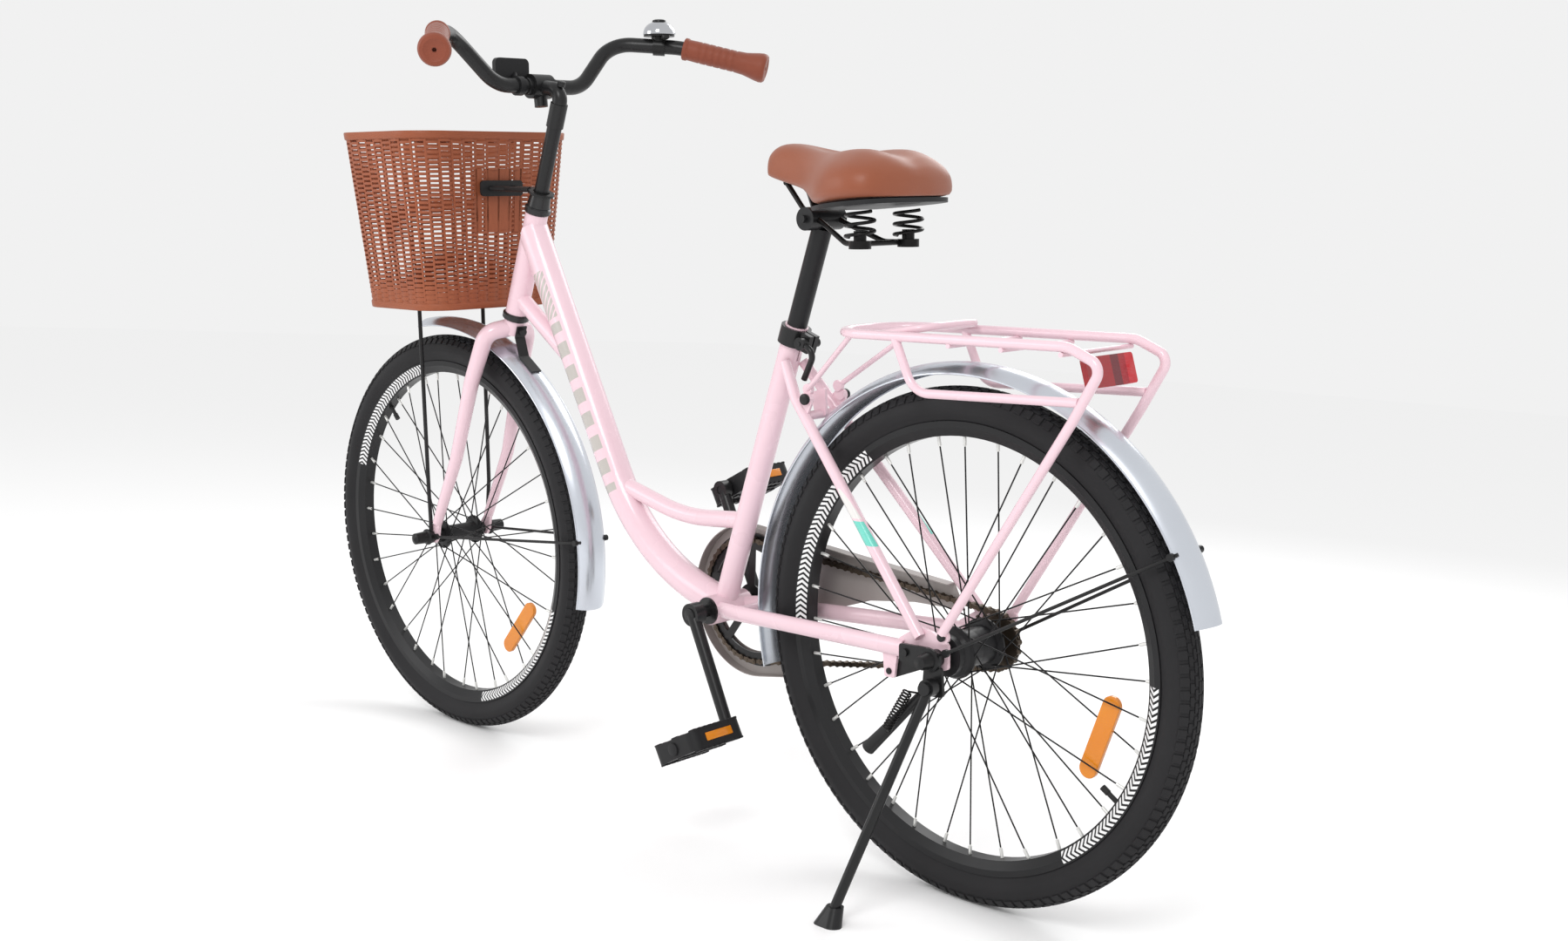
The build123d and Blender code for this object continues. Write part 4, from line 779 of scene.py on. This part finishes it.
panel_pieces = []
for low, high in ((-46, -31), (-25, 25), (31, 46)):
    rings = []
    for height in (PANEL_LOW - 3, (PANEL_LOW + PANEL_HIGH) / 2, PANEL_HIGH + 3):
        x = basket_point(0, height)[0].x
        rings.append([Vector((x - 0.2, low, height)), Vector((x - 0.2, high, height)),
                      Vector((x + 3.0, high, height)), Vector((x + 3.0, low, height))])
    panel_pieces.append(loft("panel", rings))
rungs = []
for side in (-28, 28):
    for step in range(13):
        height = PANEL_LOW + 3 + step * 7.2
        rungs.append(Matrix.Translation((basket_point(0, height)[0].x + 1.4, side, height)))
panel_pieces.append(stamp(block((2.6, 7.4, 3.6), 0.4, 1), rungs, "rungs"))

basket = joined([woven, *ribs, band(638, 649.5, -3.4, 2.6), band(377.5, 388, -2.8, 2.4),
                 *floor_slats, *panel_pieces])
settle(basket, "wicker_basket", "steering", basket_plastic, ["basket"], 50)

# %% [markdown]
# ## Saddle cushion
# The cushion is firm moulded foam under leatherette: a narrow nose, two raised lobes at the back
# and a shallow channel between them.  Sections across the saddle are lofted into a closed form
# and subdivided, because a firm moulded shape keeps its own form better than simulated cloth.

# %% Saddle
HALF_WIDTHS = [(84, 20), (88, 54), (96, 78), (108, 90), (128, 96), (160, 94), (178, 86), (196, 75),
               (212, 63), (228, 52), (244, 43), (262, 37), (280, 33), (300, 31), (318, 27),
               (328, 20), (335, 9)]
CREST = [(84, 577), (90, 589), (104, 601), (130, 608), (160, 609), (190, 608), (230, 612),
         (262, 618), (290, 622), (312, 620), (326, 613), (336, 600)]
UNDERSIDE = [(84, 555), (140, 549), (205, 542), (240, 560), (335, 581)]
LOBES = [(84, 0), (110, 5), (140, 8), (175, 6), (215, 0), (340, 0)]
CHANNEL = [(84, 0), (100, 2), (140, 5), (200, 6), (250, 3), (290, 0), (340, 0)]


def along_table(table, x):
    """Reads a value from a table of places along the saddle, smoothly."""
    xs, values = zip(*table)
    return float(np.interp(x, xs, values))


rings = []
stations = [84, 86, 90, 96, 104, 116, 130, 146, 162, 178, 194, 208, 222, 236, 250, 266, 282, 298,
            311, 321, 328, 332, 335]
for x in stations:
    half, floor = along_table(HALF_WIDTHS, x), along_table(UNDERSIDE, x)
    top = max(along_table(CREST, x), floor + 9)
    ring = []
    for step in range(29):
        turned = math.pi * step / 28
        y = half * math.copysign(abs(math.cos(turned)) ** 0.86,
                                 math.cos(turned)) * (1 + 0.03 * math.sin(turned))
        z = floor + (top - floor) * math.sin(turned) ** 0.56
        crown = math.sin(turned) ** 3
        z += crown * along_table(LOBES, x) * math.exp(-((abs(y) - 0.5 * half) / (0.3 * half)) ** 2)
        z -= crown * along_table(CHANNEL, x) * math.exp(-(y / 15) ** 2)
        ring.append(Vector((x, y, z)))
    for share in (0.6, 0.2, -0.2, -0.6):
        ring.append(Vector((x, -share * half, floor)))
    rings.append(ring)
saddle = loft("saddle", rings)
modifier(saddle, "SUBSURF", levels=1, render_levels=1)
settle(saddle, "saddle_cushion_padded", "saddle", saddle_cover, ["saddle_cushion"], 80)

# %% [markdown]
# ## Grips
# Each rubber grip is a swelling outline spun about the bar, with moulded bands, a flared end
# and the small air hole of a push-on grip.

# %% Grips
GRIP_ENDS = {"left": (Vector((760, 226, 777)), Vector((655, 306, 744)))}
GRIP_ENDS["right"] = tuple(Vector((p.x, -p.y, p.z)) for p in GRIP_ENDS["left"])
GRIP_OUTLINE = [(11.3, 0), (16.0, 0), (17.2, 1.2), (17.2, 6), (15.8, 8), (16.2, 20)]
for band_at in range(26, 92, 11):
    GRIP_OUTLINE += [(16.4, band_at), (15.7, band_at + 1.2), (15.7, band_at + 2.6),
                     (16.5, band_at + 3.8)]
GRIP_OUTLINE += [(17.2, 98), (19.2, 108), (21.4, 118), (22.4, 125), (21.8, 130), (19.6, 132.6),
                 (15, 133.4), (13, 132.2), (3.6, 131.8), (2.9, 130.8), (2.9, 122), (0, 122)]
grips = []
for start, stop in GRIP_ENDS.values():
    way = (stop - start).normalized()
    grips.append(turn(GRIP_OUTLINE, start + way * 6, way, steps=36))
settle(joined(grips), "rubber_grips", "bar", grip_rubber, ["grips"], 35)

# %% [markdown]
# ## Small fittings
# Pedal treads and reflectors, the bell's dome, bolt heads and caps.  Each starts as a primitive
# at its size and place and is bevelled, so its edges catch the light as real ones do.

# %% Pedals
CRANK_SPOT = Vector((434.5028, 0, -20.1866))
CRANK_REACH, PEDAL_OUT = 170, 134
PEDAL_TILT = math.radians(-28)
RIDGE_STEP, TREAD_OUT, LENS_OUT = 9.2, 13.6, 44.4
TREAD_WAY = Vector((math.cos(PEDAL_TILT), 0, math.sin(PEDAL_TILT)))
PEDAL_UP = Vector((-TREAD_WAY.z, 0, TREAD_WAY.x))
for name, degrees, sign in (("left", -119.6, 1), ("right", 60.4, -1)):
    centre = around(CRANK_SPOT, CRANK_REACH, degrees, sign * PEDAL_OUT)
    ridges, lenses = [], []
    for face in (1, -1):
        for row in (-38, 0, 38):
            for step in range(9):
                along = Vector((0, (step - 4) * RIDGE_STEP, 0))
                spot = centre + TREAD_WAY * row + along + PEDAL_UP * face * TREAD_OUT
                ridges.append(facing(spot, (0, 1, 0), PEDAL_UP * face))
    treads = stamp(block((6.0, 12.0, 3.0), 0.8, 1), ridges, "treads")
    cap = rod(centre + Vector((0, sign * 44, 0)), centre + Vector((0, sign * 48.5, 0)), 9, 24, 1.2)
    settle(joined([treads, cap]), f"pedal_{name}_treads", f"{name}_pedal", pedal_plastic)
    for end in (1, -1):
        spot = centre + TREAD_WAY * end * LENS_OUT
        lens = block((46, 11, 2.6), 0.8)
        lens.data.transform(facing(spot, (0, 1, 0), TREAD_WAY * end))
        lenses.append(lens)
    settle(joined(lenses), f"pedal_{name}_reflectors", f"{name}_pedal", amber_lens)

# %% [markdown]
# The bell is a pressed dome with a plastic cap on top.  A dome is round about one axis, so its
# outline is spun, which gives an even skin for the chrome to mirror.

# %% Bell
bell_low, bell_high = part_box("bell_dome")
bell_centre = STAND.inverted() @ ((bell_low + bell_high) / 2)
DOME_MIDDLE = 29.6
bell_centre.z -= DOME_MIDDLE
DOME = [(0, 39.8), (5, 39.4), (11, 38.2), (16, 36), (20, 33), (23, 29), (24.6, 25), (25.2, 21.5),
        (25.2, 19.4), (24.4, 19.4), (0, 19.6)]
CAP = [(0, 42.6), (7, 42.3), (10.4, 41), (11, 38.0), (11, 36.6), (0, 36.6)]
dome = turn(DOME, bell_centre, (0, 0, 1), steps=48)
settle(dome, "bell_dome_chromed", "bar", chrome_bell, ["bell_dome"], 50)
settle(turn(CAP, bell_centre, (0, 0, 1), steps=32), "bell_cap", "bar", bell_plastic)

# %% [markdown]
# Bolts hold the carrier, the cranks, the stem and the brake arm.  A bolt's head is a short
# cylinder with bevelled rims, so one small function makes them all.

# %% Bolts and caps


def bolt(spot, way, radius, length, body, name, material):
    """A round-headed bolt with a bevelled head."""
    way = Vector(way).normalized()
    settle(rod(spot, Vector(spot) + way * length, radius, 20, radius * 0.2), name, body, material)


for side, label in ((1, "left"), (-1, "right")):
    bolt((243.5, side * 36, 294), (0, side, 0), 7.5, 6, "frame", f"carrier_bolt_{label}",
         black_enamel)
    bolt((-14, side * 70, 30), (0, side, 0), 5.5, 5, "frame", f"carrier_foot_bolt_{label}",
         black_enamel)
    bolt(CRANK_SPOT + Vector((0, side * 69, 0)), (0, side, 0), 9.5, 3.4, "crankset",
         f"crank_cap_{label}", black_enamel)

hooks = [rod((40, 110, -88), (45, 101, -94), 1.3, 10, 0.3),
         rod((12, 103, -36), (3, 95, -38), 1.3, 10, 0.3)]
settle(joined(hooks), "stand_spring_hooks", "kickstand", spring_wire)

HEAD_FOOT, HEAD_ANGLE, STEM_BEND_AT = Vector((898.2, 0, 372.2)), math.radians(69.45), 356
steering_up = Vector((-math.cos(HEAD_ANGLE), 0, math.sin(HEAD_ANGLE)))
stem_top = HEAD_FOOT + steering_up * STEM_BEND_AT + Vector((2, 0, 6))
bolt(stem_top, (-0.35, 0, 0.94), 6.0, 8, "stem", "expander_bolt", black_enamel)
bolt((78, 58, -32), (0, 1, 0), 4.2, 5, "frame", "brake_arm_bolt", black_enamel)

# %% [markdown]
# ## Studio
# A plain pale floor, a soft white room and three large lamps.  The camera stands behind the
# left shoulder of the bicycle, low, with a slightly long lens.

# %% Camera
AZIMUTH, ELEVATION, ROLL = math.radians(44.184), math.radians(9.452), math.radians(-0.267)
TARGET, DISTANCE = Vector((319.2, 0, 187.5)), 2377.4
forward = Vector((math.cos(ELEVATION) * math.sin(AZIMUTH),
                  -math.cos(ELEVATION) * math.cos(AZIMUTH), -math.sin(ELEVATION)))
right = forward.cross(Vector((0, 0, 1))).normalized()
up = right.cross(forward)
rolled_right = right * math.cos(ROLL) + up * math.sin(ROLL)
up = up * math.cos(ROLL) - right * math.sin(ROLL)
right = rolled_right
lean_only = Matrix.Rotation(-LEAN, 3, "X")
pose = Matrix((lean_only @ right, lean_only @ up, lean_only @ -forward)).transposed().to_4x4()
camera_data = bpy.data.cameras.new("camera")
camera_data.sensor_fit = "HORIZONTAL"
camera_data.sensor_width = 36.0
camera_data.lens = 40.4448
camera = bpy.data.objects.new("camera", camera_data)
bpy.context.scene.collection.objects.link(camera)
camera.matrix_world = Matrix.Translation(STAND @ (TARGET - forward * DISTANCE)) @ pose
bpy.context.scene.camera = camera

# %% [markdown]
# The floor is almost as bright as the room, so the two meet softly.  Three large square lamps
# give the long, soft highlights that show paint and black metal as round.

# %% Floor and lights
FLOOR_WHITE = (0.985, 0.985, 0.985, 1)
ROOM_BRIGHTNESS = 0.88
alone()
bpy.ops.mesh.primitive_plane_add(size=30, location=(0, 0, 0))
floor = bpy.context.object
floor.name = "studio_floor"
floor_mat = bpy.data.materials.new("studio_floor_white")
floor_mat.use_nodes = True
floor_look = floor_mat.node_tree.nodes["Principled BSDF"]
floor_look.inputs["Base Color"].default_value = FLOOR_WHITE
floor_look.inputs["Roughness"].default_value = 0.9
floor_look.inputs["Specular IOR Level"].default_value = 0.0
floor.data.materials.append(floor_mat)

world = bpy.data.worlds.new("studio")
bpy.context.scene.world = world
world.use_nodes = True
world.node_tree.nodes["Background"].inputs[0].default_value = (1.0, 1.0, 1.0, 1)
world.node_tree.nodes["Background"].inputs[1].default_value = ROOM_BRIGHTNESS


def lamp(name, spot, aim, size, power):
    """A large square lamp that looks at a point."""
    data = bpy.data.lights.new(name, "AREA")
    data.size, data.energy = size, power
    obj = bpy.data.objects.new(name, data)
    bpy.context.scene.collection.objects.link(obj)
    way = Vector(aim) - Vector(spot)
    obj.matrix_world = Matrix.Translation(spot) @ way.to_track_quat("-Z", "Y").to_matrix().to_4x4()


lamp("key", (-1.6, 2.6, 2.6), (0, 0, 0.5), 1.2, 44)
lamp("fill", (1.8, 2.4, 1.4), (0.2, 0, 0.5), 1.4, 16)
lamp("back", (0.4, -2.4, 2.4), (0, 0, 0.5), 1.6, 26)
bpy.context.scene.view_settings.view_transform = "Standard"
